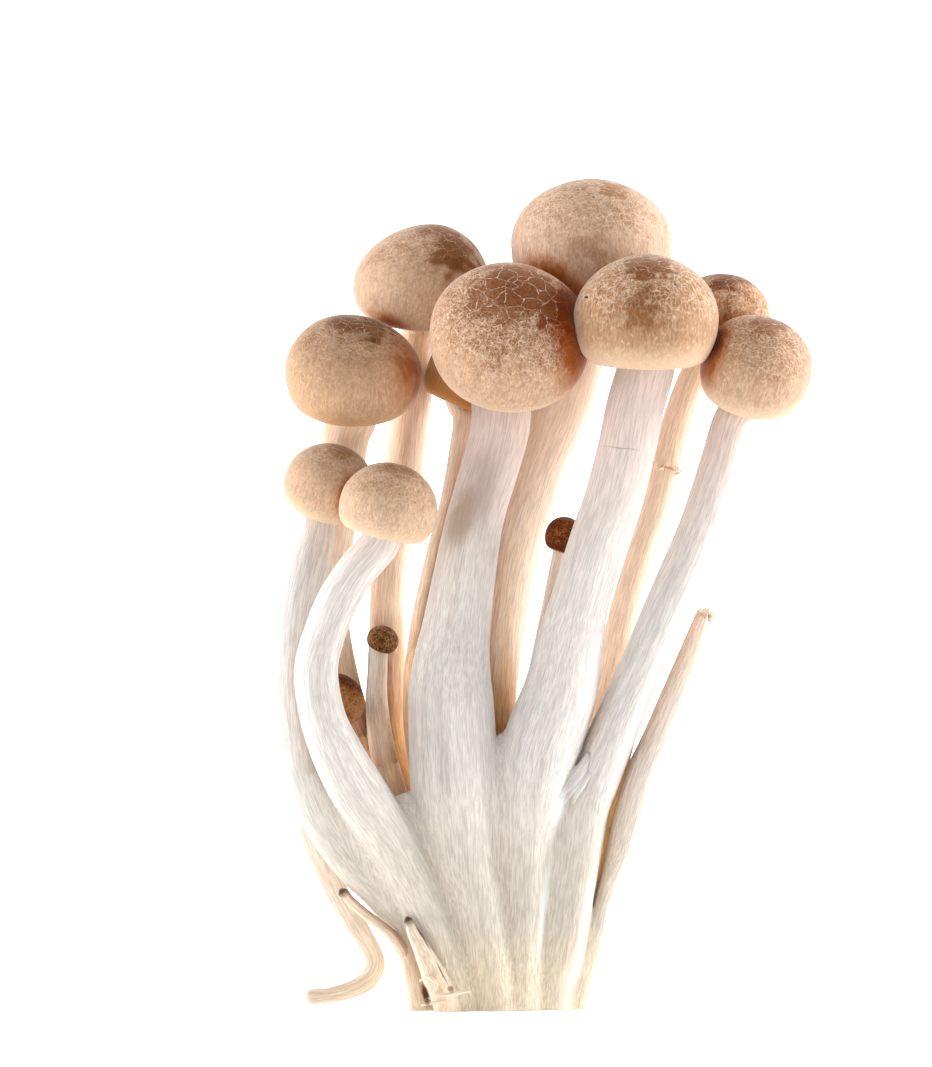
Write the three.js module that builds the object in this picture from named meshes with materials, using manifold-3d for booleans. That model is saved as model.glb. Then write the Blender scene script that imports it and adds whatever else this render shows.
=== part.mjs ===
// A clustered mushroom, cut off flat at its foot and standing on the cut.
// Millimetres, +Z up, the viewer on the -Y side, the origin in the middle of the cut.
import * as THREE from 'three';
import { mergeVertices } from 'three/addons/utils/BufferGeometryUtils.js';
import Module from 'manifold-3d';

const wasm = await Module();
wasm.setup();

// Driving dimensions
const GAP = 0.3; // air between pieces that touch in the real cluster
const FOOT_GAP = 0.45; // growth of the room that stems keep clear of, which its facets narrow
const PRESS_GAP = 0.45; // growth of a cap that dents its neighbour
const WELD = 1e-4; // vertices closer than this are one
const ROOM = 200; // a block that holds the whole cluster
const RIM = 0.68; // radius of a cap's lower rim, as a share of the cap's radius
const GILL_ROOF = 0.36; // depth of the gill chamber's roof below the widest line, same share
const GILL_WAVE = 0.05; // height of the gill corrugation, same share
const NECK = 0.72; // depth at which a stem turns into line with its cap, same share
const GILLS = { inner: 0.3, outer: 0.55, edge: 0.59 }; // radii of the gills and the rim's inside, same share
const MARGIN_FOLD = 0.05; // height of the fold between a cap's rim and its gills, same share
const CHAMBER_WALL = 0.12; // height of the gills' outer wall, same share
const FOOT_TOP = 37; // height to which the strands of the foot are fused
const FOOT_BOTTOM = -2; // height at which the strands start, below the cut
const WEB_TAPER = 9; // length over which a web thins towards its top
const WEB_TIP = 0.3; // thickness of a web's top, as a share of the rest
const WEB_STEPS = 6; // stations of a web, less one
const WEB_ROOM = 1.3; // growth of a web's room, as a share of the strands'

// How finely the forms are faceted
const STEM_FACETS = { sides: 10, spacing: 7.4 };
const THIN_FACETS = { sides: 8, spacing: 5 };
const SMALL_FACETS = { sides: 8, spacing: 2.9 };
const FOOT_FACETS = { sides: 10, spacing: 8 };
const THIN_FOOT_FACETS = { sides: 8, spacing: 8 };
const LONE_FOOT_FACETS = { sides: 8, spacing: 6.5 };
const WEB_FACETS = { sides: 6, spacing: 12 };
const CORE_FACETS = { sides: 12, rings: 2 };
const LARGE_CAP_FACETS = { sides: 20, dome: 5, margin: 3 };
const CAP_FACETS = { sides: 16, dome: 5, margin: 3 };
const YOUNG_CAP_FACETS = { sides: 12, dome: 3, margin: 2 };
const LARGE_CAP = 8; // caps of a larger radius take the finer facets
const FRAME_STEPS = 600; // samples of a strand's two directions across it

const COLOURS = {
  cap: { color: 0xc49a72, roughness: 0.62, metalness: 0 },
  darkCap: { color: 0x5b4029, roughness: 0.7, metalness: 0 },
  stem: { color: 0xefeae0, roughness: 0.55, metalness: 0 },
  foot: { color: 0xeee3cd, roughness: 0.6, metalness: 0 },
};

// Each strand runs from below the cut up to its cap. A station is [x, y, z, radius].
// centre, radius, rise (dome) and drop (margin) size the cap, and lean is its axis.
// fullness is the power of the dome's curve, 2 for an ellipse and less for a steeper dome, and skew is
// how far the crown stands to the side, as a share of the radius.
// fork is the height at which the strand leaves the foot.
const MUSHROOMS = {
  centre: {
    fork: FOOT_TOP,
    cap: { centre: [1.3, -6.3, 94.0], radius: 11.3, rise: 0.81, drop: 0.6, lean: [0.15, -0.66, 0.75] },
    strand: [
      [-0.3, -5.6, -2, 3.0], [-0.6, -5.6, 4, 3.1], [-1.6, -5.6, 9, 3.3], [-2.9, -5.6, 15, 3.9],
      [-5.0, -5.6, 22, 5.0], [-6.2, -5.6, 30, 6.2], [-6.6, -5.5, 37, 6.15], [-6.9, -5.2, 43, 6.0],
      [-6.8, -5.0, 48, 5.45], [-6.0, -4.6, 54, 4.75], [-4.1, -3.4, 65.5, 4.15], [-2.8, -2.7, 71, 4.0],
      [-1.0, -2.2, 77, 4.05], [0.1, -1.8, 82, 4.15],
    ],
  },
  right_centre: {
    fork: FOOT_TOP,
    cap: {
      centre: [20.35, -10.5, 96.6], radius: 10.05, rise: 0.86, drop: 0.66, lean: [0.02, -0.15, 1],
      fullness: 1.9,
    },
    strand: [
      [3.0, -5.0, -2, 2.6], [3.4, -5.0, 7, 2.8], [3.6, -5.0, 15, 3.1], [3.5, -5.1, 22, 3.7],
      [4.4, -5.3, 29, 4.8], [5.85, -5.6, 37, 5.45], [8.4, -6.0, 44.5, 5.15], [9.8, -6.6, 51.5, 4.6],
      [11.1, -7.2, 57, 4.1], [13.6, -8.2, 65.5, 3.9], [15.6, -8.9, 71, 3.95], [17.5, -9.6, 78, 4.0],
      [18.7, -10.0, 84, 4.0],
    ],
  },
  top: {
    fork: FOOT_TOP,
    cap: {
      centre: [12.9, 8.0, 107.4], radius: 11.45, rise: 0.79, drop: 0.72, lean: [0, -0.12, 1],
      fullness: 1.92,
    },
    strand: [
      [0.5, 1.5, -2, 3.4], [0.3, 1.6, 8, 3.4], [-0.4, 1.9, 18, 3.5], [-1.0, 2.2, 28, 3.6],
      [-1.4, 3.2, 37, 3.6], [-1.4, 3.5, 43, 3.7], [-0.3, 3.9, 54, 3.9], [1.8, 5.0, 65.5, 4.0],
      [3.6, 5.6, 71, 3.95], [5.7, 6.2, 77, 3.8], [9.0, 7.2, 85, 4.0], [11.4, 7.9, 94, 3.85],
    ],
  },
  left: {
    fork: FOOT_TOP,
    cap: {
      centre: [-20.6, 1.5, 89.1], radius: 9.6, rise: 0.82, drop: 0.56, lean: [0, -0.42, 0.9],
      fullness: 1.85, skew: -0.1,
    },
    strand: [
      [-7.0, 0.8, -2, 2.8], [-8.0, 0.9, 8, 2.9], [-11.5, 1.4, 18, 3.0], [-16.0, 2.6, 28, 3.1],
      [-19.6, 4.1, 36, 3.2], [-22.3, 5.3, 43, 3.2], [-24.2, 5.3, 52, 3.2], [-24.4, 5.1, 58, 3.25],
      [-23.8, 4.9, 66, 3.3], [-22.8, 4.7, 74, 3.4], [-21.7, 4.6, 80, 3.4],
    ],
  },
  back_left: {
    fork: FOOT_TOP,
    cap: {
      centre: [-11.0, 12.5, 101.2], radius: 9.8, rise: 0.93, drop: 0.45, lean: [0.05, -0.28, 0.95],
      fullness: 1.9, skew: 0.14,
    },
    strand: [
      [-4.0, 4.5, -2, 2.6], [-5.0, 4.6, 8, 2.6], [-8.5, 5.0, 18, 2.6], [-12.0, 5.8, 28, 2.6],
      [-15.0, 7.3, 36, 2.6], [-15.7, 7.8, 43, 2.6], [-15.9, 8.2, 51.5, 2.55], [-15.9, 8.5, 58.5, 2.35],
      [-15.0, 10.0, 67, 2.6], [-13.4, 11.5, 76.7, 2.85], [-12.5, 12.6, 85, 2.8], [-12.1, 13.3, 91, 2.6],
    ],
  },
  back_right: {
    fork: FOOT_TOP,
    cap: { centre: [31.5, 4.5, 97.4], radius: 6.5, rise: 0.85, drop: 0.7, lean: [0.15, -0.2, 0.97] },
    strand: [
      [5.0, 1.5, -2, 2.6], [6.0, 1.6, 8, 2.6], [8.0, 1.8, 18, 2.5], [10.5, 2.2, 28, 2.4],
      [13.3, 2.6, 37, 2.3], [15.4, 2.9, 46, 2.2], [17.9, 3.3, 57, 2.1], [22.3, 3.9, 71, 2.05],
      [24.4, 4.2, 79.5, 2.35], [27.3, 4.7, 88, 2.25],
    ],
  },
  right: {
    fork: 33,
    cap: { centre: [35.7, -6.5, 89.7], radius: 7.77, rise: 0.91, drop: 0.72, lean: [0.22, -0.42, 0.88] },
    strand: [
      [7.4, -4.0, -2, 2.2], [7.7, -4.0, 3, 2.3], [8.9, -4.0, 7, 2.4], [9.8, -4.0, 12, 2.6],
      [10.6, -4.0, 17, 2.7], [12.0, -4.1, 27, 3.0], [13.2, -4.2, 32, 3.4], [15.1, -4.4, 37, 3.3],
      [19.2, -4.8, 47, 2.9], [23.5, -5.1, 57, 3.0], [27.0, -5.3, 65.5, 2.8], [29.0, -5.4, 71, 2.8],
      [30.9, -5.2, 77, 2.8], [32.4, -4.8, 82, 2.75],
    ],
  },
  small_back: {
    fork: 33,
    cap: { centre: [-23.8, -5.5, 73.5], radius: 6.2, rise: 0.88, drop: 0.7, lean: [0.3, -0.35, 0.88] },
    strand: [
      [-9.3, -3.6, -2, 2.6], [-10.4, -3.6, 5, 2.6], [-13.1, -3.9, 11.1, 2.35], [-16.8, -5.0, 15.8, 2.35],
      [-20.8, -6.2, 20.2, 2.6], [-24.1, -7.0, 25.5, 3.0], [-26.6, -7.4, 31, 3.1], [-27.8, -7.4, 36, 3.0],
      [-28.8, -7.3, 45, 2.85], [-28.0, -6.8, 55, 2.85], [-26.8, -5.9, 61, 2.85], [-25.7, -4.7, 65.5, 2.65],
    ],
  },
  small_front: {
    fork: 32,
    cap: { centre: [-15.5, -14.0, 69.9], radius: 6.9, rise: 0.92, drop: 0.56, lean: [0.24, -0.1, 0.98] },
    strand: [
      [-5.2, -5.4, -2, 2.9], [-5.6, -5.6, 3, 2.9], [-7.8, -6.0, 8, 3.0], [-10.9, -6.8, 15, 3.3],
      [-14.3, -8.2, 22, 3.6], [-17.0, -9.6, 26.5, 3.7], [-19.9, -11.0, 31, 3.8], [-22.4, -12.2, 35.5, 3.6],
      [-24.6, -13.0, 41, 3.2], [-25.5, -13.3, 47.5, 3.05], [-24.2, -13.6, 53, 2.9],
      [-22.3, -13.8, 57.5, 2.85], [-19.7, -13.9, 61.5, 2.75],
    ],
  },
  hidden: {
    fork: 50,
    cap: { centre: [-4.5, 7.8, 89.0], radius: 5.7, rise: 0.85, drop: 0.85, lean: [0.42, 0, 0.9] },
    strand: [
      [-3.0, -1.0, -2, 2.2], [-5.0, -1.0, 10, 2.2], [-8.5, -1.0, 25, 2.4], [-10.8, -1.0, 37, 2.4],
      [-11.6, -0.8, 45, 2.0], [-11.3, 0.2, 51, 1.6], [-10.4, 0.7, 57, 1.45], [-8.4, 1.2, 65.5, 1.4],
      [-6.9, 2.2, 71, 1.45], [-5.7, 4.4, 78, 1.45], [-5.2, 6.3, 82.5, 1.45],
    ],
  },
  dark_right: {
    fork: FOOT_TOP,
    young: true,
    cap: { centre: [8.6, -3.4, 66.3], radius: 2.35, rise: 1.05, drop: 1.0, lean: [0.15, -0.15, 1] },
    strand: [
      [2.6, 1.2, 28, 0.9], [3.2, 0.9, 38, 0.9], [4.6, -0.5, 46, 0.85], [5.8, -2.0, 52, 0.85],
      [6.8, -2.8, 57, 0.8],
    ],
  },
  dark_left: {
    fork: 34,
    young: true,
    cap: { centre: [-16.5, 3.0, 51.7], radius: 2.25, rise: 0.85, drop: 0.6, lean: [0.25, -0.3, 0.92] },
    strand: [
      [-13.3, -0.6, 24, 1.9], [-15.7, -0.6, 33, 1.85], [-16.8, 0.3, 38, 1.75], [-17.3, 2.5, 43, 1.55],
      [-17.2, 3.1, 47, 1.4],
    ],
  },
  low_brown: {
    fork: 33,
    young: true,
    cap: { centre: [-22.8, -2.2, 43.1], radius: 3.9, rise: 0.95, drop: 0.7, lean: [0.5, -0.1, 0.85] },
    strand: [
      [-14.0, -0.5, 21, 1.6], [-17.0, -2.0, 27, 1.6], [-20.2, -3.0, 33, 1.6], [-22.4, -2.9, 36.5, 1.5],
    ],
  },
};

// Stems without a cap
const BARE_STEMS = {
  broken_stem: {
    fork: 12,
    strand: [
      [10.4, -2.0, -2, 1.9], [11.2, -2.0, 3, 1.8], [12.7, -2.2, 8, 1.4], [14.0, -2.4, 13.7, 1.15],
      [15.3, -2.5, 18, 1.25], [16.9, -2.6, 22.8, 1.85], [18.2, -2.7, 27.7, 2.15], [20.0, -2.8, 33.2, 2.25],
      [21.9, -2.9, 37.7, 2.05], [24.2, -3.0, 43.5, 1.85], [26.5, -3.1, 49.4, 1.6], [28.5, -3.2, 55.1, 1.15],
    ],
  },
  pin_left: {
    fork: 9,
    strand: [
      [-11.0, -5.4, -2, 1.6], [-12.2, -6.2, 4, 1.35], [-13.5, -6.8, 8, 1.05], [-15.0, -7.2, 10.3, 0.85],
      [-16.8, -7.2, 11.9, 0.75], [-18.9, -7.1, 13.5, 0.7], [-21.0, -7.0, 15.4, 0.65],
      [-22.3, -6.9, 16.9, 0.8],
    ],
  },
  pin_front: {
    fork: 5,
    strand: [
      [-7.0, -8.4, -2, 1.9], [-8.0, -8.8, 2, 1.9], [-9.0, -9.2, 4.4, 1.8], [-9.9, -9.5, 6.5, 1.5],
      [-11.1, -9.7, 9, 1.15], [-12.1, -9.7, 10.9, 0.85], [-13.0, -9.6, 13.2, 0.6],
    ],
  },
};

const CURLED_STEM = [
  [-28.2, -2.6, 33.5, 0.6], [-27.8, -2.1, 29.5, 1.3], [-27.0, -1.8, 26.5, 1.5], [-25.4, -1.6, 22, 1.7],
  [-23.1, -1.2, 16.8, 1.6], [-20.5, -1.0, 12.3, 1.5], [-18.4, -1.2, 8.8, 1.35], [-17.4, -1.6, 6.2, 1.3],
  [-18.6, -2.0, 3.9, 1.25], [-21.2, -2.4, 2.4, 1.1], [-24.1, -2.8, 1.8, 0.95], [-26.4, -3.0, 1.6, 0.75],
];

// Webs of flesh in the creases between two strands of the foot. fill is the web's thickness as a share of
// the thinner strand's, and back is how far it stands back from the two.
const WEBS = [
  { pair: ['small_back', 'small_front'], top: 29.5, fill: 0.85, back: 0.8 },
  { pair: ['small_front', 'centre'], top: 30, fill: 0.8, back: 1.9 },
  { pair: ['centre', 'right_centre'], top: 38, fill: 0.8, back: 1 },
  { pair: ['right_centre', 'right'], top: 30.5, fill: 0.85, back: 1 },
  { pair: ['right', 'broken_stem'], top: 28.5, fill: 0.75, back: 1.8 },
];

// The fused heart of the foot, between the strands: an oval cone.
const CORE = { lowHalves: [9.5, 6.0], highHalves: [4.5, 3.0], start: -1, height: 30, centre: [0, -1.2] };

// Caps that press on a neighbour: the first is dented by the second.
const PRESSED_CAPS = [
  ['centre', 'right_centre'],
  ['top', 'centre'],
  ['top', 'right_centre'],
  ['back_left', 'left'],
  ['back_right', 'right'],
  ['right', 'right_centre'],
  ['small_back', 'small_front'],
];

// Geometry with only positions, its shared vertices merged
function weld(geometry) {
  geometry.deleteAttribute('normal');
  geometry.deleteAttribute('uv');
  return mergeVertices(geometry, WELD);
}

function toSolid(geometry) {
  const welded = weld(geometry);
  return new wasm.Manifold(new wasm.Mesh({
    numProp: 3,
    vertProperties: new Float32Array(welded.attributes.position.array),
    triVerts: new Uint32Array(welded.index.array),
  }));
}

function toGeometry(solid) {
  const mesh = solid.getMesh();
  const geometry = new THREE.BufferGeometry();
  geometry.setAttribute('position', new THREE.BufferAttribute(mesh.vertProperties, 3));
  geometry.setIndex(new THREE.BufferAttribute(mesh.triVerts, 1));
  geometry.computeVertexNormals();
  return geometry;
}

// A rod's centre line, its radius and two directions across it, all read by one parameter
class Strand {
  constructor(stations) {
    const spot = ([x, y, z]) => new THREE.Vector3(x, y, z);
    this.line = new THREE.CatmullRomCurve3(stations.map(spot), false, 'catmullrom', 0.5);
    this.sizes = new THREE.CatmullRomCurve3(
      stations.map((station) => new THREE.Vector3(station[3], 0, 0)), false, 'catmullrom', 0.5,
    );
    this.across = [new THREE.Vector3(1, 0, 0)];
    for (let step = 0; step <= FRAME_STEPS; step += 1) {
      const along = this.line.getTangent(step / FRAME_STEPS);
      const last = this.across[this.across.length - 1];
      this.across.push(last.clone().addScaledVector(along, -last.dot(along)).normalize());
    }
  }

  // The parameter at which the strand first reaches a height
  reach(height) {
    let step = 0;
    while (step < FRAME_STEPS && this.line.getPoint(step / FRAME_STEPS).z < height) {
      step += 1;
    }
    return step / FRAME_STEPS;
  }

  // A point of the rod's skin, or of its inside where share is under 1
  skin(parameter, angle, share, grow) {
    const along = this.line.getTangent(parameter);
    const side = this.across[Math.round(parameter * FRAME_STEPS) + 1];
    const other = new THREE.Vector3().crossVectors(along, side);
    const radius = (this.sizes.getPoint(parameter).x + grow) * share;
    return this.line.getPoint(parameter)
      .addScaledVector(side, radius * Math.cos(angle))
      .addScaledVector(other, radius * Math.sin(angle));
  }

  // The point and the radius of the strand where it first reaches a height
  station(height) {
    const parameter = this.reach(height);
    return { point: this.line.getPoint(parameter), radius: this.sizes.getPoint(parameter).x };
  }

  // A closed rod along the strand between two parameters, thicker than the strand by grow
  rod(start, end, { sides, spacing }, grow = 0) {
    const length = this.line.getPoint(start).distanceTo(this.line.getPoint(end));
    const rings = Math.max(2, Math.round(length / spacing));
    const geometry = new THREE.CylinderGeometry(1, 1, 1, sides, rings);
    const place = geometry.attributes.position;
    const vertex = new THREE.Vector3();
    for (let index = 0; index < place.count; index += 1) {
      vertex.fromBufferAttribute(place, index);
      const parameter = start + (vertex.y + 0.5) * (end - start);
      const angle = Math.atan2(-vertex.z, vertex.x);
      const share = Math.hypot(vertex.x, vertex.z);
      place.setXYZ(index, ...this.skin(parameter, angle, share, grow).toArray());
    }
    return toSolid(geometry);
  }
}

function capAxis(cap) {
  return new THREE.Vector3(...cap.lean).normalize();
}

// A point on the cap's axis, below the centre by a share of the radius and a distance
function belowCap(cap, share, distance = 0) {
  return new THREE.Vector3(...cap.centre)
    .addScaledVector(capAxis(cap), -(share * cap.radius + distance));
}

// The strand of a mushroom with the last stations that lead it into its cap
function fullStrand(mushroom) {
  const { cap, strand, young } = mushroom;
  const radius = strand[strand.length - 1][3];
  const roof = young ? cap.drop : GILL_ROOF + GILL_WAVE;
  const neck = young ? cap.drop + NECK : NECK;
  return new Strand([
    ...strand,
    [...belowCap(cap, neck).toArray(), radius],
    [...belowCap(cap, roof, GAP).toArray(), radius],
  ]);
}

// Half of a cap's section, from the crown round the margin and up the gill chamber, in shares
function capSection(cap, young, facets) {
  const points = [];
  const power = 2 / (cap.fullness ?? 2);
  for (let step = 0; step <= facets.dome; step += 1) {
    const angle = (step / facets.dome) * Math.PI / 2;
    const height = Math.max(Math.cos(angle), 0);
    points.push(new THREE.Vector2(Math.sin(angle) ** power, cap.rise * height ** power));
  }
  for (let step = 1; step <= facets.margin; step += 1) {
    const angle = (step / facets.margin) * Math.PI / 2;
    points.push(new THREE.Vector2(RIM + (1 - RIM) * Math.cos(angle), -cap.drop * Math.sin(angle)));
  }
  if (young) {
    points.push(new THREE.Vector2(0, -cap.drop));
    return points;
  }
  points.push(new THREE.Vector2(GILLS.edge, -cap.drop + MARGIN_FOLD));
  points.push(new THREE.Vector2(GILLS.outer, -GILL_ROOF - CHAMBER_WALL));
  points.push(new THREE.Vector2(GILLS.inner, -GILL_ROOF));
  points.push(new THREE.Vector2(0, -GILL_ROOF));
  return points;
}

function capFacets({ cap, young }) {
  if (young) {
    return YOUNG_CAP_FACETS;
  }
  return cap.radius > LARGE_CAP ? LARGE_CAP_FACETS : CAP_FACETS;
}

// A closed cap. grow makes it larger all round, to dent a neighbour with.
function capSolid(mushroom, grow = 0) {
  const { cap, young } = mushroom;
  const facets = capFacets(mushroom);
  const section = capSection(cap, young, facets);
  const geometry = weld(new THREE.LatheGeometry(section.reverse(), facets.sides));
  const place = geometry.attributes.position;
  const scale = cap.radius + grow;
  const turn = new THREE.Quaternion().setFromUnitVectors(new THREE.Vector3(0, 1, 0), capAxis(cap));
  const vertex = new THREE.Vector3();
  for (let index = 0; index < place.count; index += 1) {
    vertex.fromBufferAttribute(place, index);
    const distance = Math.hypot(vertex.x, vertex.z);
    const inChamber = vertex.y < 0 && vertex.y > -cap.drop + MARGIN_FOLD - WELD;
    const onGills = !young && inChamber && distance > GILLS.inner - WELD && distance < GILLS.outer + WELD;
    const side = Math.round(Math.atan2(vertex.x, vertex.z) / (2 * Math.PI) * facets.sides);
    if (onGills && side % 2 !== 0) {
      vertex.y += GILL_WAVE * 2;
    }
    vertex.x += (cap.skew ?? 0) * Math.max(vertex.y / cap.rise, 0) ** 2;
    vertex.multiplyScalar(scale).applyQuaternion(turn).add(new THREE.Vector3(...cap.centre));
    place.setXYZ(index, vertex.x, vertex.y, vertex.z);
  }
  return toSolid(geometry);
}

function coreSolid() {
  const { lowHalves, highHalves, start, height, centre } = CORE;
  const geometry = new THREE.CylinderGeometry(1, 1, height, CORE_FACETS.sides, CORE_FACETS.rings);
  const place = geometry.attributes.position;
  for (let index = 0; index < place.count; index += 1) {
    const share = place.getY(index) / height + 0.5;
    const halfWidth = THREE.MathUtils.lerp(lowHalves[0], highHalves[0], share);
    const halfDepth = THREE.MathUtils.lerp(lowHalves[1], highHalves[1], share);
    place.setXYZ(
      index,
      centre[0] + place.getX(index) * halfWidth,
      centre[1] - place.getZ(index) * halfDepth,
      start + share * height,
    );
  }
  return toSolid(geometry);
}

function aboveCut(solid) {
  const room = new THREE.BoxGeometry(ROOM, ROOM, ROOM).translate(0, 0, ROOM / 2);
  return solid.intersect(toSolid(room));
}

const group = new THREE.Group();

function addPiece(name, solid, look) {
  const mesh = new THREE.Mesh(toGeometry(solid), new THREE.MeshStandardMaterial(COLOURS[look]));
  mesh.name = name;
  group.add(mesh);
}

const strands = {};
for (const [name, mushroom] of Object.entries(MUSHROOMS)) {
  strands[name] = fullStrand(mushroom);
}
for (const [name, stem] of Object.entries(BARE_STEMS)) {
  strands[name] = new Strand(stem.strand);
}

// A web as a strand of its own, in the middle of the gap between its two, and longer than its top by rise
function webStrand({ pair, top, fill, back }, rise) {
  const stations = [];
  for (let step = 0; step <= WEB_STEPS; step += 1) {
    const height = THREE.MathUtils.lerp(FOOT_BOTTOM, top, step / WEB_STEPS);
    const [first, second] = pair.map((name) => strands[name].station(height));
    const thinned = Math.sqrt(Math.min(1, (top - height) / WEB_TAPER));
    const radius = Math.min(first.radius, second.radius) * fill * (WEB_TIP + (1 - WEB_TIP) * thinned);
    const across = second.point.clone().sub(first.point);
    const offset = (first.radius - second.radius) / across.length();
    const middle = first.point.clone().addScaledVector(across, (1 + offset) / 2);
    stations.push([middle.x, middle.y + back, height, radius]);
  }
  const [x, y, z, radius] = stations[WEB_STEPS];
  if (rise > 0) {
    stations.push([x, y, z + rise, radius]);
  }
  return new Strand(stations);
}

// The strands of the foot, fused. With a rise and a growth it is the room that the stems keep clear of.
function fusedStrands(rise = 0, grow = 0) {
  let whole = coreSolid();
  for (const [name, mushroom] of Object.entries(MUSHROOMS)) {
    const top = strands[name].reach(Math.min(mushroom.fork, FOOT_TOP) + rise);
    whole = whole.add(strands[name].rod(0, top, mushroom.young ? THIN_FOOT_FACETS : FOOT_FACETS, grow));
  }
  for (const [name, stem] of Object.entries(BARE_STEMS)) {
    whole = whole.add(strands[name].rod(0, strands[name].reach(stem.fork + rise), LONE_FOOT_FACETS, grow));
  }
  for (const web of WEBS) {
    whole = whole.add(webStrand(web, rise).rod(0, 1, WEB_FACETS, grow * WEB_ROOM));
  }
  return whole;
}

addPiece('foot', aboveCut(fusedStrands()), 'foot');
const footRoom = fusedStrands(GAP, FOOT_GAP);

// A stem above its fork, clear of the foot
function stemSolid(name, fork, facets) {
  return strands[name].rod(strands[name].reach(fork + GAP), 1, facets).subtract(footRoom);
}

// The stems: the hidden one joins the centre one's side between the foot and its own fork
for (const [name, mushroom] of Object.entries(MUSHROOMS)) {
  const thin = mushroom.young || name === 'hidden';
  let stem = stemSolid(name, mushroom.fork, thin ? THIN_FACETS : STEM_FACETS);
  if (name === 'centre') {
    const branch = strands.hidden;
    const joined = branch.rod(branch.reach(FOOT_TOP), branch.reach(MUSHROOMS.hidden.fork), STEM_FACETS);
    stem = stem.add(joined.subtract(footRoom));
  }
  addPiece(`stem_${name}`, stem, 'stem');
}

// The caps
for (const [name, mushroom] of Object.entries(MUSHROOMS)) {
  let cap = capSolid(mushroom);
  for (const [pressed, presser] of PRESSED_CAPS) {
    if (pressed === name) {
      cap = cap.subtract(capSolid(MUSHROOMS[presser], PRESS_GAP));
    }
  }
  addPiece(`cap_${name}`, cap, mushroom.young ? 'darkCap' : 'cap');
}

// The stems without a cap
for (const [name, stem] of Object.entries(BARE_STEMS)) {
  addPiece(name, stemSolid(name, stem.fork, name === 'broken_stem' ? THIN_FACETS : SMALL_FACETS), 'stem');
}
addPiece('curled_stem', new Strand(CURLED_STEM).rod(0, 1, SMALL_FACETS), 'stem');

export default group;
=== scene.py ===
"""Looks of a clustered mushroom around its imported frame: metres, +Z up, the viewer on the -Y side.

Sizes below are in millimetres, and new_piece turns them into metres.
"""

import logging
import math
from dataclasses import dataclass, field
from enum import Enum

import bmesh
import bpy
import numpy as np
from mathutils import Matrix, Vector


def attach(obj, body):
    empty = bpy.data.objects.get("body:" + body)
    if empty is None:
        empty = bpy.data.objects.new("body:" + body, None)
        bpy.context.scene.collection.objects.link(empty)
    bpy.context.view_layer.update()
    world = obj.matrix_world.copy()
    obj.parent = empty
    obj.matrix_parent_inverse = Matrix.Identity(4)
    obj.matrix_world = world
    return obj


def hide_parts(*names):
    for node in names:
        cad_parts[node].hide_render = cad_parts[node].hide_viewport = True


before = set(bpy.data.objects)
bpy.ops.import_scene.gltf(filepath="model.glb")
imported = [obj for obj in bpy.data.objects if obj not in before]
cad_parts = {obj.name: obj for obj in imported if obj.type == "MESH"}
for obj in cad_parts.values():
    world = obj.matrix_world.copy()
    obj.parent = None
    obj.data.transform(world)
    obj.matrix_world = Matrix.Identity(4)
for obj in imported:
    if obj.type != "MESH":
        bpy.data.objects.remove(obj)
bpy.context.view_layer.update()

LOG = logging.getLogger("cluster")
METRES = 0.001
FOOT_TOP = 37.0  # height to which the strands of the foot are fused
SEAM_REACH = 3.0  # how far a strand runs on, thinner, inside the piece that takes over from it
BELOW_CUT = -2  # height at which the strands of the foot start, below the cut
RING_SPACING = 0.5
LINE_STEPS = 36  # samples of a line between two of its stations
TOUCH_GAP = 0.12  # air between caps that press on each other
QUARTER_TURN = math.pi / 2
PHASES = 6.3  # about a full turn, from which a wave's phase is drawn
TINY = 1e-6  # keeps a length that is divided by away from zero

Colour = tuple[float, float, float, float]
Pair = tuple[float, float]
Triple = tuple[float, float, float]
Station = tuple[float, float, float, float]
Faces = list[tuple[int, ...]]
Piece = bpy.types.Object
Material = bpy.types.Material
Node = bpy.types.Node
Socket = bpy.types.NodeSocket


def shade(red: int, green: int, blue: int) -> Colour:
    """A screen colour, from 0 to 255 a channel, as the linear colour that a shader takes.

    Args:
        red: The red channel.
        green: The green channel.
        blue: The blue channel.

    Returns:
        Linear red, green, blue and an alpha of 1.
    """
    values = [channel / 255 for channel in (red, green, blue)]
    linear = [v / 12.92 if v <= 0.04045 else ((v + 0.055) / 1.055) ** 2.4 for v in values]
    return (*linear, 1.0)


def smooth_step(values: np.ndarray, low: float, high: float) -> np.ndarray:
    """Eases from 0 at low to 1 at high.

    Args:
        values: What is eased.
        low: Where the result is 0.
        high: Where the result is 1, which may be below low.

    Returns:
        Values from 0 to 1.
    """
    share = np.clip((values - low) / (high - low), 0, 1)
    return share * share * (3 - 2 * share)


def smooth_line(stations: np.ndarray, steps: int = LINE_STEPS) -> np.ndarray:
    """A smooth line through its stations, whose columns are all eased in the same way.

    Args:
        stations: One row a station.
        steps: Samples between two stations.

    Returns:
        The samples, from the first station to the last.
    """
    before_first = 2 * stations[0] - stations[1]
    after_last = 2 * stations[-1] - stations[-2]
    rows = np.vstack([before_first, stations, after_last])
    share = np.linspace(0, 1, steps, endpoint=False)[:, None]
    samples = []
    for index in range(len(stations) - 1):
        before, start, end, after = rows[index:index + 4]
        slope_in = (end - before) / 2
        slope_out = (after - start) / 2
        square = 3 * (end - start) - 2 * slope_in - slope_out
        cube = 2 * (start - end) + slope_in + slope_out
        samples.append(start + slope_in * share + square * share ** 2 + cube * share ** 3)
    samples.append(stations[-1:])
    return np.vstack(samples)


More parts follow.
